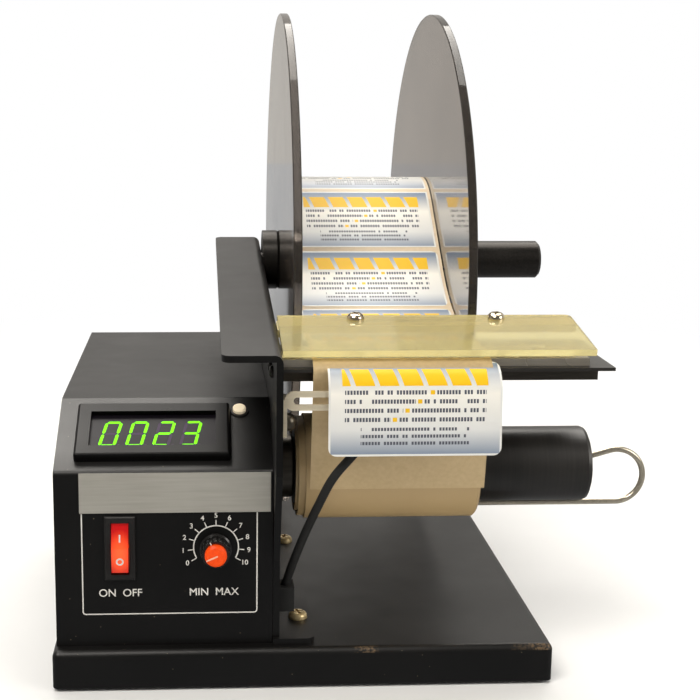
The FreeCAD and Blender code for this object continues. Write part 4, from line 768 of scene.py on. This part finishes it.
def added(name: str, *steps: Matrix) -> Piece:
    """Name the piece that was just added, and move its mesh."""
    bpy.context.object.name = name
    return moved(bpy.context.object, *steps)


def plane(name: str, wide: float, tall: float) -> Piece:
    """Flat rectangle round the origin in the XY plane, sizes in metres."""
    bpy.ops.mesh.primitive_plane_add(size=1.0)
    return added(name, Matrix.Diagonal((wide, tall, 1.0, 1.0)))


def plate(name: str, radius: float, corners: int) -> Piece:
    """Flat round plate round the origin in the XY plane, sizes in metres."""
    bpy.ops.mesh.primitive_circle_add(vertices=corners, radius=radius, fill_type="NGON", location=(0, 0, 0))
    return added(name)


def block(name: str, wide: float, deep: float, tall: float) -> Piece:
    """Block round the origin, sizes in metres."""
    bpy.ops.mesh.primitive_cube_add(size=1.0)
    return added(name, Matrix.Diagonal((wide, deep, tall, 1.0)))


def disc(name: str, radius: float, deep: float, corners: int) -> Piece:
    """Cylinder that stands on the origin along Z, sizes in metres."""
    bpy.ops.mesh.primitive_cylinder_add(vertices=corners, radius=radius, depth=deep, location=(0, 0, 0))
    return added(name, Matrix.Translation((0, 0, deep / 2)))


def line_through(name: str, points: list[Vector], kind: str) -> Piece:
    """Curve led by points.

    Args:
        name: Name of the curve.
        points: Its points in the frame.
        kind: Type of its spline.

    Returns:
        The curve's object.
    """
    curve = bpy.data.curves.new(name, "CURVE")
    curve.dimensions = "3D"
    spline = curve.splines.new(kind)
    spline.points.add(len(points) - 1)
    for given, point in zip(spline.points, points):
        given.co = (*point, 1.0)
    line = bpy.data.objects.new(name, curve)
    bpy.context.scene.collection.objects.link(line)
    return line


def aimed(direction: Vector, roll: float = 0.0) -> Matrix:
    """Turn that brings +Z to a direction, after a roll about Z."""
    swing = Vector((0, 0, 1)).rotation_difference(direction).to_matrix().to_4x4()
    return swing @ Matrix.Rotation(roll, 4, "Z")


def shifted(x: float = 0.0, y: float = 0.0, z: float = 0.0) -> Matrix:
    """Shift given in mm."""
    return Matrix.Translation((x * MM, y * MM, z * MM))


def merged(name: str, pieces: list[Piece]) -> Piece:
    """Join pieces.

    Args:
        name: Name of the whole.
        pieces: Pieces that are joined.

    Returns:
        The whole.
    """
    hold(pieces[0])
    for piece in pieces:
        piece.select_set(True)
    bpy.ops.object.join()
    pieces[0].name = name
    return pieces[0]


def smooth(piece: Piece, degrees: float = 35.0) -> None:
    """Shade a piece smooth across its soft edges."""
    hold(piece)
    bpy.ops.object.shade_smooth_by_angle(angle=math.radians(degrees))


def wear(piece: Piece, finish: Finish) -> None:
    """Give a piece its one finish."""
    piece.data.materials.clear()
    piece.data.materials.append(finish.make())


def settle(piece: Piece, finish: Finish, body: str, nodes: tuple[str, ...] = ()) -> Piece:
    """Finish a piece and tie it to the machine.

    Args:
        piece: Piece in its place.
        finish: Its surface.
        body: Body that it moves with.
        nodes: Nodes that it stands for.

    Returns:
        The same piece.
    """
    wear(piece, finish)
    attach(piece, body)
    if nodes:
        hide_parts(*nodes)
    LOG.info("made %s with %d faces", piece.name, len(piece.data.polygons))
    return piece


UPRIGHT = Matrix.Rotation(math.pi / 2, 4, "X")
PANEL = Matrix.Rotation(PANEL_TILT, 4, "X")


# sub-assemblies


@dataclass(frozen=True)
class Studio:
    """Floor, lamps and the camera that stands where the photograph was taken."""

    place: tuple[float, float, float] = (68.60, -559.84, 250.82)
    turn: float = 0.053
    dip: float = 0.179
    roll: float = 0.006
    focal: float = 1316.2
    middle: tuple[float, float] = (272.0, 325.0)
    picture: float = 700.0
    sensor: float = 36.0
    floor_size: float = 8.0

    def build(self) -> None:
        """Set up the camera, the floor, the lamps and the surrounding light."""
        self.camera()
        floor = plane("floor", self.floor_size, self.floor_size)
        floor.data.materials.append(FLOOR.make())
        self.light()
        self.lamps()

    def camera(self) -> None:
        """Camera fitted to the photograph's own angle and crop."""
        bpy.ops.object.camera_add()
        camera = bpy.context.object
        camera.name = "camera"
        level = Vector((math.sin(self.turn), math.cos(self.turn), 0))
        side = Vector((math.cos(self.turn), -math.sin(self.turn), 0))
        ahead = level * math.cos(self.dip) - Vector((0, 0, 1)) * math.sin(self.dip)
        up = Vector((0, 0, 1)) * math.cos(self.dip) + level * math.sin(self.dip)
        right = side * math.cos(self.roll) + up * math.sin(self.roll)
        top = up * math.cos(self.roll) - side * math.sin(self.roll)
        turned = Matrix((right, top, -ahead)).transposed().to_4x4()
        camera.matrix_world = Matrix.Translation(spot(*self.place)) @ turned
        lens = camera.data
        lens.sensor_width = self.sensor
        lens.lens = self.focal / self.picture * self.sensor
        lens.shift_x = (self.picture / 2 - self.middle[0]) / self.picture
        lens.shift_y = (self.middle[1] - self.picture / 2) / self.picture
        lens.clip_start = 0.05
        lens.dof.use_dof = False
        bpy.context.scene.camera = camera

    @staticmethod
    def light() -> None:
        """Soft light from all round, brighter from behind and above, with a white backdrop."""
        scene = bpy.context.scene
        scene.world = bpy.data.worlds.new("studio")
        scene.world.use_nodes = True
        nodes = Nodes(scene.world.node_tree)
        ray = nodes.add("ShaderNodeLightPath").outputs
        behind = nodes.split(nodes.add("ShaderNodeTexCoord").outputs["Generated"])[1]
        mirrored = nodes.maths("MULTIPLY_ADD", ray["Is Glossy Ray"], -0.25, 1.0)
        level = nodes.product(nodes.ranged(behind, -0.3, 0.7, 0.16, 0.8), mirrored)
        seen = nodes.maths("MAXIMUM", ray["Is Camera Ray"], ray["Is Transmission Ray"])
        shade = nodes.tree.nodes["Background"].inputs
        nodes.feed(shade["Strength"], nodes.maths("MAXIMUM", seen, level))
        nodes.feed(shade["Color"], nodes.mix(ray["Is Glossy Ray"], (1.0, 1.0, 1.0), (1.0, 0.955, 0.89)))
        scene.view_settings.view_transform = "Standard"

    @staticmethod
    def lamps() -> None:
        """Large soft lamps over the front left and the back, a low fill, and a card that only glints."""
        for name, place, target, size, power, glint in (
            ("key_lamp", (-0.7, -0.9, 1.6), (0.0, 0.0, 0.15), 0.9, 24.0, False),
            ("top_lamp", (0.2, 0.7, 1.6), (0.0, 0.0, 0.1), 1.4, 24.0, False),
            ("fill_lamp", (1.3, -0.9, 0.8), (0.0, 0.0, 0.15), 1.0, 10.0, False),
            ("glint_card", (-0.36, 0.23, 1.05), (-0.13, -0.14, 0.12), 0.3, 3.4, True),
        ):
            bpy.ops.object.light_add(type="AREA", location=place)
            lamp = bpy.context.object
            lamp.name = name
            lamp.data.size = size
            lamp.data.energy = power
            lamp.data.color = (1.0, 0.96, 0.9)
            lamp.visible_diffuse = not glint
            lamp.rotation_euler = (Vector(target) - Vector(place)).to_track_quat("-Z", "Y").to_euler()


@dataclass(frozen=True)
class CarriedNodes:
    """Construction pieces that are shown as they are, each with its finish."""

    softened: tuple[tuple[str, float], ...] = (("control_housing", 0.7), ("base_plate", 0.7), ("side_plate", 0.35))
    sharpest: float = math.radians(50)

    def build(self) -> None:
        """Give every carried piece its material, and the painted sheets soft edges."""
        shared = {name: FINISHES[slot] for slot, names in CARRIED.items() for name in names}
        for name, finish in {**shared, **OWN}.items():
            wear(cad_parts[name], finish)
            LOG.info("finished %s as %s", name, finish.name)
        for name, width in self.softened:
            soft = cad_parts[name].modifiers.new("soft_edges", "BEVEL")
            soft.width, soft.segments, soft.limit_method = width * MM, 2, "ANGLE"
            soft.angle_limit, soft.harden_normals = self.sharpest, True


@dataclass(frozen=True)
class Screw:
    """Domed screw with a cross recess, in mm."""

    name: str
    node: str
    place: Vector
    direction: tuple[float, float, float]
    radius: float
    tall: float
    shank: float
    reach: float
    slot: str = "screw_steel"
    body: str = "machine"
    roll: float = 0.4
    finish: Finish | None = None

    def build(self) -> Piece:
        """Head with a rounded crown, a cross cut into it and a shank below.

        Returns:
            The screw.
        """
        top = self.tall * MM
        head = disc(self.name, self.radius * MM, top, 40)
        pick(head, lambda place, along: place.z > top * 0.99, Part.EDGES)
        bpy.ops.mesh.bevel(offset=top * 0.8, segments=6, affect="EDGES", clamp_overlap=True)
        pick(head, lambda place, normal: normal.z < -0.9)
        bpy.ops.mesh.inset(thickness=(self.radius - self.shank) * MM)
        bpy.ops.mesh.extrude_region_move(TRANSFORM_OT_translate={"value": (0, 0, -self.reach * MM)})
        close()
        for turn in (0.0, math.pi / 2):
            groove = block("groove", self.radius * 1.25 * MM, self.radius * 0.24 * MM, top * 1.1)
            moved(groove, Matrix.Translation((0, 0, top)), Matrix.Rotation(turn, 4, "Z"))
            modify(head, "BOOLEAN", object=groove, operation="DIFFERENCE", solver="EXACT")
            drop(groove)
        moved(head, aimed(Vector(self.direction), self.roll), Matrix.Translation(self.place))
        smooth(head)
        return settle(head, self.finish or FINISHES[self.slot], self.body, (self.node,))


@dataclass(frozen=True)
class Fasteners:
    """All the screws whose heads show."""

    tilt: float = math.radians(9.4)

    def build(self) -> None:
        """Cover, sole, bracket, sensor and table bar screws."""
        out = (0.0, -math.sin(self.tilt), math.cos(self.tilt))
        for side, across, roll in (("left", 139.8, 0.5), ("right", 206.3, 1.1)):
            Screw(
                f"cover_screw_{side}", "cover_screws", spot(across, 44.35, 144.12), out, 4.0, 2.9, 1.8, 5.0,
                "chrome", roll=roll, finish=BRIGHT_SCREW,
            ).build()
        for number, back in enumerate((29.6, 136.0, 222.0)):
            Screw(
                f"sole_screw_{number}", "side_plate_screws", spot(112.9, back, 3.0), (0, 0, 1),
                4.5, 3.1, 2.0, 5.0, roll=0.3 + number,
            ).build()
        Screw(
            "bracket_screw_head", "bracket_screw", spot(104.9, 0.5, 106.0), (1, 0, 0), 4.1, 4.3, 1.5, 4.0,
            finish=DULL_SCREW,
        ).build()
        Screw(
            "sensor_screw_head", "sensor_screw", spot(170.9, -4.55, 116.45), (0, -1, 0), 2.7, 1.15, 1.2, 3.5,
            body="sensor",
        ).build()
        for number, back in enumerate((18.55, 31.25)):
            Screw(
                f"table_bar_screw_{number}", "table_bar_screws", spot(99.85, back, 124.7), (-1, 0, 0),
                2.8, 1.7, 1.4, 6.0, "dark_screw",
            ).build()


@dataclass(frozen=True)
class FrontPrint:
    """Thin printed lines, dial and plain words on the housing's front, in mm."""

    face: float = 6.96
    line: float = 0.55
    left: float = 13.6
    right: float = 92.8
    bottom: float = 14.9
    top: float = 62.6
    spare: float = 6.0
    dial: tuple[float, float] = (74.0, 46.4)
    ring: float = 10.4
    numbers: float = 14.9
    number_size: float = 3.3
    word_size: float = 5.0
    word_height: float = 25.1
    tick: tuple[float, float] = (2.6, 0.42)
    gap: float = 58.0
    zero: float = 210.0
    step: float = 24.0

    def build(self) -> None:
        """Frame line, dial ring with its ticks, numbers and words."""
        pieces = [self.frame_line(), self.dial_ring(), *self.ticks(), *self.words()]
        for piece in pieces:
            moved(piece, UPRIGHT)
        settle(merged("front_print", pieces), WHITE_INK, "machine")

    def at(self, x: float, z: float) -> Matrix:
        """Place on the print's own plane, whose second axis is the height."""
        point = spot(x, self.face, z)
        return Matrix.Translation((point.x, point.z, -point.y))

    def frame_line(self) -> Piece:
        """Line round the controls that runs up to the bar at both sides.

        Returns:
            The line as a flat mesh.
        """
        wide, tall = (self.right - self.left) * MM, (self.top + self.spare - self.bottom) * MM
        piece = plane("frame_line", wide, tall)
        rounded(piece, 1.6 * MM, 5, lambda place, normal: place.y < 0)
        pick(piece)
        rim(self.line * MM)
        bpy.ops.mesh.select_all(action="SELECT")
        cut = tall / 2 - self.spare * MM
        bpy.ops.mesh.bisect(plane_co=(0, cut, 0), plane_no=(0, 1, 0), clear_outer=True)
        close()
        return moved(piece, self.at((self.left + self.right) / 2, (self.bottom + self.top + self.spare) / 2))

    def dial_ring(self) -> Piece:
        """Ring round the knob, open at its foot.

        Returns:
            The ring as a flat mesh.
        """
        piece = plate("dial_ring", self.ring * MM, 90)
        pick(piece)
        rim(self.line * MM)
        close()
        pick(piece, lambda place, normal: abs(math.degrees(math.atan2(place.x, -place.y))) < self.gap)
        bpy.ops.mesh.delete(type="FACE")
        close()
        return moved(piece, self.at(*self.dial))

    def angle(self, number: int) -> float:
        """Direction of a dial number."""
        return math.radians(self.zero - self.step * number)

    def ticks(self) -> list[Piece]:
        """Eleven ticks outside the ring.

        Returns:
            The ticks as flat meshes.
        """
        made = []
        for number in range(11):
            turn = Matrix.Rotation(self.angle(number), 4, "Z")
            tick = plane("tick", self.tick[0] * MM, self.tick[1] * MM)
            made.append(moved(tick, shifted(self.ring + 1.1), turn, self.at(*self.dial)))
        return made

    def words(self) -> list[Piece]:
        """Plain words under the controls, and the dial's numbers.

        Returns:
            The words as flat meshes.
        """
        under = (("ON  OFF", 30.8), ("MIN  MAX", 73.0))
        found = [self.text(words, self.word_size, x, self.word_height) for words, x in under]
        for number in range(11):
            across, above = math.cos(self.angle(number)), math.sin(self.angle(number))
            x, z = self.dial[0] + self.numbers * across, self.dial[1] + self.numbers * above
            found.append(self.text(str(number), self.number_size, x, z))
        return found

    def text(self, words: str, size: float, x: float, z: float) -> Piece:
        """Printed word, centred on a point.

        Args:
            words: What it says.
            size: Letter size in mm.
            x: Middle from the base's left edge in mm.
            z: Middle above the deck in mm.

        Returns:
            The word as a flat mesh.
        """
        bpy.ops.object.text_add(location=(0, 0, 0))
        piece = bpy.context.object
        piece.data.body = words
        piece.data.size = size * MM
        piece.data.offset = 0.03 * MM
        piece.data.align_x, piece.data.align_y = "CENTER", "CENTER"
        hold(piece)
        bpy.ops.object.convert(target="MESH")
        return moved(bpy.context.object, self.at(x, z))


@dataclass(frozen=True)
class Counter:
    """Four slanted figures behind the counter's window, in mm."""

    shown: str = "0023"
    left: float = 21.3
    pitch: float = 12.25
    wide: float = 6.6
    foot: float = 15.9
    tall: float = 15.5
    bar: float = 1.4
    slit: float = 0.5
    lean: float = 0.18
    out: float = 1.63
    segments: tuple[str, ...] = ("0235689", "045689", "01234789", "2345689", "0268", "013456789", "0235689")

    def build(self) -> None:
        """Lit and unlit bars of each figure, and a point beside it."""
        lit, dark = [], []
        for place, figure in enumerate(self.shown):
            for number, users in enumerate(self.segments):
                (lit if figure in users else dark).append(self.bar_of(place, number))
            dark.append(self.settled(moved(plate("point", 0.75 * MM, 16), shifted(self.wide + 1.9)), place))
        for name, pieces, finish in (("figures_lit", lit, LIT), ("figures_unlit", dark, UNLIT)):
            settle(merged(name, pieces), finish, "machine")

    def settled(self, piece: Piece, place: int) -> Piece:
        """Lean a flat piece over and lay it on the window.

        Args:
            piece: Flat piece, placed from its figure's foot.
            place: Number of the figure, from the left.

        Returns:
            The same piece.
        """
        slant = Matrix.Shear("XY", 4, (0, 0))
        slant[0][1] = self.lean
        point = on_panel(self.left + self.pitch * place, self.foot, self.out)
        return moved(piece, slant, PANEL, Matrix.Translation(point))

    def bar_of(self, place: int, number: int) -> Piece:
        """One pointed bar of a figure.

        Args:
            place: Number of the figure, from the left.
            number: Number of the bar: top, upper left, upper right, middle, lower left, lower right, foot.

        Returns:
            The bar as a flat mesh.
        """
        half = self.tall / 2
        flat = number in (0, 3, 6)
        piece = plane("bar", ((self.wide if flat else half) - self.slit) * MM, self.bar * MM)
        rounded(piece, self.bar * 0.48 * MM, 1)
        if flat:
            middle = (self.wide / 2, {0: self.tall, 3: half, 6: 0.0}[number])
        else:
            moved(piece, Matrix.Rotation(math.pi / 2, 4, "Z"))
            middle = (0.0 if number in (1, 4) else self.wide, half * (1.5 if number in (1, 2) else 0.5))
        return self.settled(moved(piece, shifted(*middle)), place)


@dataclass(frozen=True)
class ControlMarks:
    """Bar and ring on the rocker, the line on the knob, and a painted highlight for the slot in its cap."""

    rocker: tuple[float, float] = (30.9, 46.6)
    knob: tuple[float, float] = (73.8, 46.1)
    index: float = math.radians(114)
    slot: float = math.radians(24)
    edge: float = 5.5

    def build(self) -> None:
        """Marks that ride with the rocker and with the knob."""
        bar = plane("rocker_bar", 0.7 * MM, 3.4 * MM)
        self.lay(bar, "power_rocker", self.rocker[0], self.rocker[1] + 5.2)
        settle(bar, WHITE_INK, "rocker")
        ring = plate("rocker_ring", 1.75 * MM, 40)
        pick(ring)
        rim(0.72 * MM)
        close()
        self.lay(ring, "power_rocker", self.rocker[0], self.rocker[1] - 5.4)
        settle(ring, WHITE_INK, "rocker")
        # painted highlight: a pale line laid on the cap for the lit edge of its slot
        line = plane("cap_slot_highlight", 5.4 * MM, 0.7 * MM)
        moved(line, shifted(-1.8), Matrix.Rotation(self.slot, 4, "Z"))
        self.lay(line, "knob_cap", *self.knob)
        settle(line, SLOT_HIGHLIGHT, "knob")
        index = moved(plane("knob_index", 0.5 * MM, 1.5 * MM), Matrix.Rotation(self.index - math.pi / 2, 4, "Z"))
        across, above = self.edge * math.cos(self.index), self.edge * math.sin(self.index)
        self.lay(index, "position_knob", self.knob[0] + across, self.knob[1] + above)
        settle(index, WHITE_INK, "knob")

    @staticmethod
    def lay(piece: Piece, node: str, x: float, z: float) -> None:
        """Lay a flat piece on a node's front, just clear of it.

        Args:
            piece: Flat piece round the origin.
            node: Construction piece that it lies on.
            x: Place from the base's left edge in mm.
            z: Place above the deck in mm.
        """
        start = spot(x, -60.0, z)
        struck, where, normal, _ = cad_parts[node].ray_cast(start, Vector((0, 1, 0)))
        if not struck:
            raise ValueError(f"nothing of {node} lies behind {x}, {z}")
        lean = math.atan2(-normal.z, -normal.y)
        moved(piece, UPRIGHT, Matrix.Rotation(lean, 4, "X"), Matrix.Translation(where + normal * 0.1 * MM))


@dataclass(frozen=True)
class Bends:
    """Line of a sheet seen from the side: runs in the YZ plane joined by arcs, in mm."""

    points: tuple[tuple[float, float], ...]
    radii: tuple[float, ...]

    def line(self, step: float = 0.7) -> list[Vector]:
        """Points close together along the line.

        Args:
            step: Distance between them in mm, about.

        Returns:
            The points in the frame.
        """
        corners = [Vector(point) for point in self.points]
        found, last = [], corners[0]
        for corner, after, radius in zip(corners[1:-1], corners[2:], self.radii):
            before_way, after_way = (corner - last).normalized(), (after - corner).normalized()
            turn = before_way.angle_signed(after_way)
            cut_back = radius * math.tan(abs(turn) / 2)
            begin = corner - before_way * cut_back
            found += self.run(last, begin, step)
            side = Vector((-before_way.y, before_way.x)) * (-1 if turn > 0 else 1)
            middle = begin + side * radius
            count = max(4, int(abs(turn) * radius / step))
            for number in range(count):
                spun = (begin - middle).copy()
                spun.rotate(Matrix.Rotation(-turn * number / count, 2))
                found.append(middle + spun)
            last = corner + after_way * cut_back
        found += self.run(last, corners[-1], step)
        found.append(corners[-1])
        return [spot(MIDDLE, point.x, point.y) for point in found]

    @staticmethod
    def run(first: Vector, last: Vector, step: float) -> list[Vector]:
        """Points along a straight run, without its last one."""
        count = max(1, int((last - first).length / step))
        return [first.lerp(last, number / count) for number in range(count)]


@dataclass(frozen=True)
class Strip:
    """Sheet that was cut flat and then follows a line of bends, in mm."""

    name: str
    bends: Bends
    left: float
    wide: float
    start: float
    long: float
    thick: float
    lift: float = 0.0
    corner: float = 0.0
    rearward: bool = True
    upside: bool = False
    crease: float = 1.4

    def build(self) -> Piece:
        """Cut the sheet flat, crease it finely, bend it along its line and give it its thickness.

        Returns:
            The bent sheet.
        """
        sheet = plane(self.name, self.long * MM, self.wide * MM)
        if self.corner:
            rounded(sheet, self.corner * MM, 6)
        side = -1.0 if self.rearward else 1.0
        moved(sheet, shifted(self.start + self.long / 2, side * (self.left + self.wide / 2 - MIDDLE), self.lift))
        self.unfold(sheet, side)
        pick(sheet)
        for number in range(1, int(self.long / self.crease)):
            bpy.ops.mesh.select_all(action="SELECT")
            bpy.ops.mesh.bisect(plane_co=((self.start + self.crease * number) * MM, 0, 0), plane_no=(1, 0, 0))
        close()
        guide = line_through("guide", self.bends.line(), "POLY")
        modify(sheet, "CURVE", object=guide, deform_axis="POS_X")
        drop(guide)
        modify(sheet, "SOLIDIFY", thickness=self.thick * MM, offset=0.0)
        smooth(sheet, 40.0)
        return sheet

    def unfold(self, sheet: Piece, side: float) -> None:
        """Write the flat sheet's own coordinates in mm, from its left foot, as its UV map.

        Args:
            sheet: Sheet before it is bent.
            side: 1 where its left is at its lesser Y, else -1.
        """
        layer = sheet.data.uv_layers.active or sheet.data.uv_layers.new(name="flat")
        for loop in sheet.data.loops:
            place = sheet.data.vertices[loop.vertex_index].co / MM
            along = place.x - self.start
            up = self.long - along if self.upside else along
            layer.data[loop.index].uv = (side * place.y + MIDDLE - self.left, up)


@dataclass(frozen=True)
class Web:
    """Label web from the roll to the peel edge, the bare liner and the presented label, in mm."""

    first: float = 1.3
    long: float = 181.8
    start: tuple[float, float] = (6.0, 132.95)
    fold: tuple[float, float] = (0.3, 129.75)
    bend_from: float = 61.3
    bend: float = 110.0
    rise: float = math.radians(38.5)
    run_up: float = 52.6
    label_corner: float = 3.6
    wound: float = 24.7
    strand_cut: float = 65.05
    strand_flat: float = 65.09
    hung_left: float = 122.75
    hung_end: tuple[float, float] = (-7.9, 92.8)
    hung_bend: float = 12.0

    def build(self) -> None:
        """Web with its labels, liner and hanging label."""
        lying, along, above = self.start[1], math.cos(self.rise), math.sin(self.rise)
        leave = (
            self.bend_from + self.bend * above + self.run_up * along,
            lying + self.bend * (1 - along) + self.run_up * above,
        )
        meet = (self.bend_from + self.bend * math.tan(self.rise / 2), lying)
        bends = Bends((self.start, meet, leave), (self.bend,))
        web = Strip("label_liner_web", bends, LINER_LEFT, LINER_WIDE, 0.0, self.long, 0.16, lift=-0.06).build()
        settle(web, BACKING, "machine", ("label_web",))
        for number in range(4):
            begin = self.first + LABEL_PITCH * number
            long = min(LABEL_LONG, self.long - begin)
            label = Strip(
                f"web_label_{number}", bends, LINER_LEFT + LABEL_MARGIN, LABEL_WIDE, begin, long, 0.1, lift=0.09,
                corner=self.label_corner if long == LABEL_LONG else 0.0,
            ).build()
            settle(label, FOIL, "machine")
        self.liner()
        self.presented()

    def liner(self) -> None:
        """Bare liner from the peel edge down to the take-up roll."""
        fold = Vector(self.fold)
        away = Vector(TAKEUP_CENTRE) - fold
        turn = math.atan2(away.y, away.x) - math.asin(self.wound / away.length)
        reach = math.sqrt(away.length**2 - self.wound**2)
        touch = fold + Vector((math.cos(turn), math.sin(turn))) * reach
        bends = Bends((self.start, self.fold, tuple(touch)), (1.5,))
        strip = Strip("liner_strand", bends, LINER_LEFT, LINER_WIDE, 0.0, self.strand_cut, 0.2, rearward=False)
        strand = settle(strip.build(), SHADED_STRAND, "machine", ("liner_return",))

    def presented(self) -> None:
        """Peeled label that stands off the edge and hangs down in front."""
        start = Vector(self.start)
        onward = (Vector(self.fold) - start).normalized()
        top = start + Vector((onward.y, -onward.x)) * -0.25 + onward * 1.85
        bends = Bends((tuple(top), tuple(top + onward * 11.9), self.hung_end), (self.hung_bend,))
        strip = Strip(
            "presented_label", bends, self.hung_left, LABEL_WIDE, 0.0, LABEL_LONG, 0.16,
            corner=self.label_corner, rearward=False, upside=True,
        )
        label = settle(strip.build(), FOIL, "machine", ("peeled_label",))


@dataclass(frozen=True)
class LabelRoll:
    """Roll of labels: printed turns outside, and the turns' edges at both ends, in mm."""

    radius: float = 48.0
    bore: float = 15.0
    leave: float = math.radians(128.5)
    begin: float = 37.7
    web: float = 0.15

    def build(self) -> None:
        """Sleeve with rings on its ends and labels round it."""
        roll = disc("printed_roll", self.radius * MM, LINER_WIDE * MM, 128)
        pick(roll, lambda place, normal: abs(normal.z) > 0.9)
        rim((self.radius - self.bore) * MM)
        close()
        pick(roll, lambda place, along: place.xy.length < self.bore * 1.02 * MM, Part.EDGES)
        bpy.ops.mesh.bridge_edge_loops()
        close()
        middle = spot(LINER_LEFT, *ROLL_CENTRE)
        moved(roll, Matrix.Rotation(math.pi / 2, 4, "Y"), Matrix.Translation(middle))
        self.unfold(roll, middle)
        settle(roll, FINISHES["label_paper"], "supply", ("label_roll",))
        roll.data.materials.append(FOIL.make())
        for face in roll.data.polygons:
            away = (face.center - middle).yz.length
            if abs(face.normal.x) < 0.5 and away > (self.radius - 2) * MM:
                face.material_index = 1
        smooth(roll)

    def unfold(self, roll: Piece, middle: Vector) -> None:
        """Write each corner's place on the wound web in mm as the UV map.

        Args:
            roll: Roll in its place.
            middle: Middle of its left end.
        """
        layer = roll.data.uv_layers.active or roll.data.uv_layers.new(name="flat")
        for face in roll.data.polygons:
            centre = math.atan2(face.center.z - middle.z, face.center.y - middle.y)
            for number in face.loop_indices:
                place = roll.data.vertices[roll.data.loops[number].vertex_index].co
                angle = math.atan2(place.z - middle.z, place.y - middle.y)
                angle = centre + math.remainder(angle - centre, 2 * math.pi)
                across = (place.x - middle.x) / MM - LABEL_MARGIN
                layer.data[number].uv = (across, self.begin + (self.leave - angle) * (self.radius + self.web))


@dataclass(frozen=True)
class SensorCable:
    """Black cable from the sensor down to its boot in the side plate, in mm."""

    route: tuple[tuple[float, float, float], ...] = (
        (158.9, -0.65, 104.7),
        (145.4, -0.65, 104.7),
        (135.5, -2.2, 92.6),
        (125.5, -0.8, 81.0),
        (120.1, 3.8, 67.2),
        (115.4, 9.0, 54.4),
        (111.5, 13.2, 42.4),
        (108.3, 17.0, 31.4),
        (105.6, 20.6, 20.6),
    )
    radius: float = 2.0

    def build(self) -> None:
        """Round cable on a smooth line through the route's points."""
        cable = line_through("sensor_lead", [spot(*point) for point in self.route], "NURBS")
        curve, spline = cable.data, cable.data.splines[0]
        spline.order_u = 3
        spline.use_endpoint_u = True
        spline.resolution_u = 14
        bpy.context.view_layer.update()
        path = [tuple(corner.co) for corner in bpy.data.meshes.new_from_object(cable).vertices]
        curve.bevel_depth = self.radius * MM
        curve.bevel_resolution = 5
        curve.use_fill_caps = True
        hold(cable)
        bpy.ops.object.convert(target="MESH")
        cable = bpy.context.object
        wear(cable, FINISHES["rubber"])
        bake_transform(cable)
        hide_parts("sensor_cable")


def main() -> None:
    """Build the studio and then each sub-assembly in turn."""
    logging.basicConfig(level=logging.INFO, format="%(message)s")
    for made in (
        Studio(), SensorCable(), CarriedNodes(), Web(), LabelRoll(), FrontPrint(), Counter(), ControlMarks(),
        Fasteners(),
    ):
        LOG.info("building %s", type(made).__name__)
        made.build()


if __name__ == "__main__":
    main()
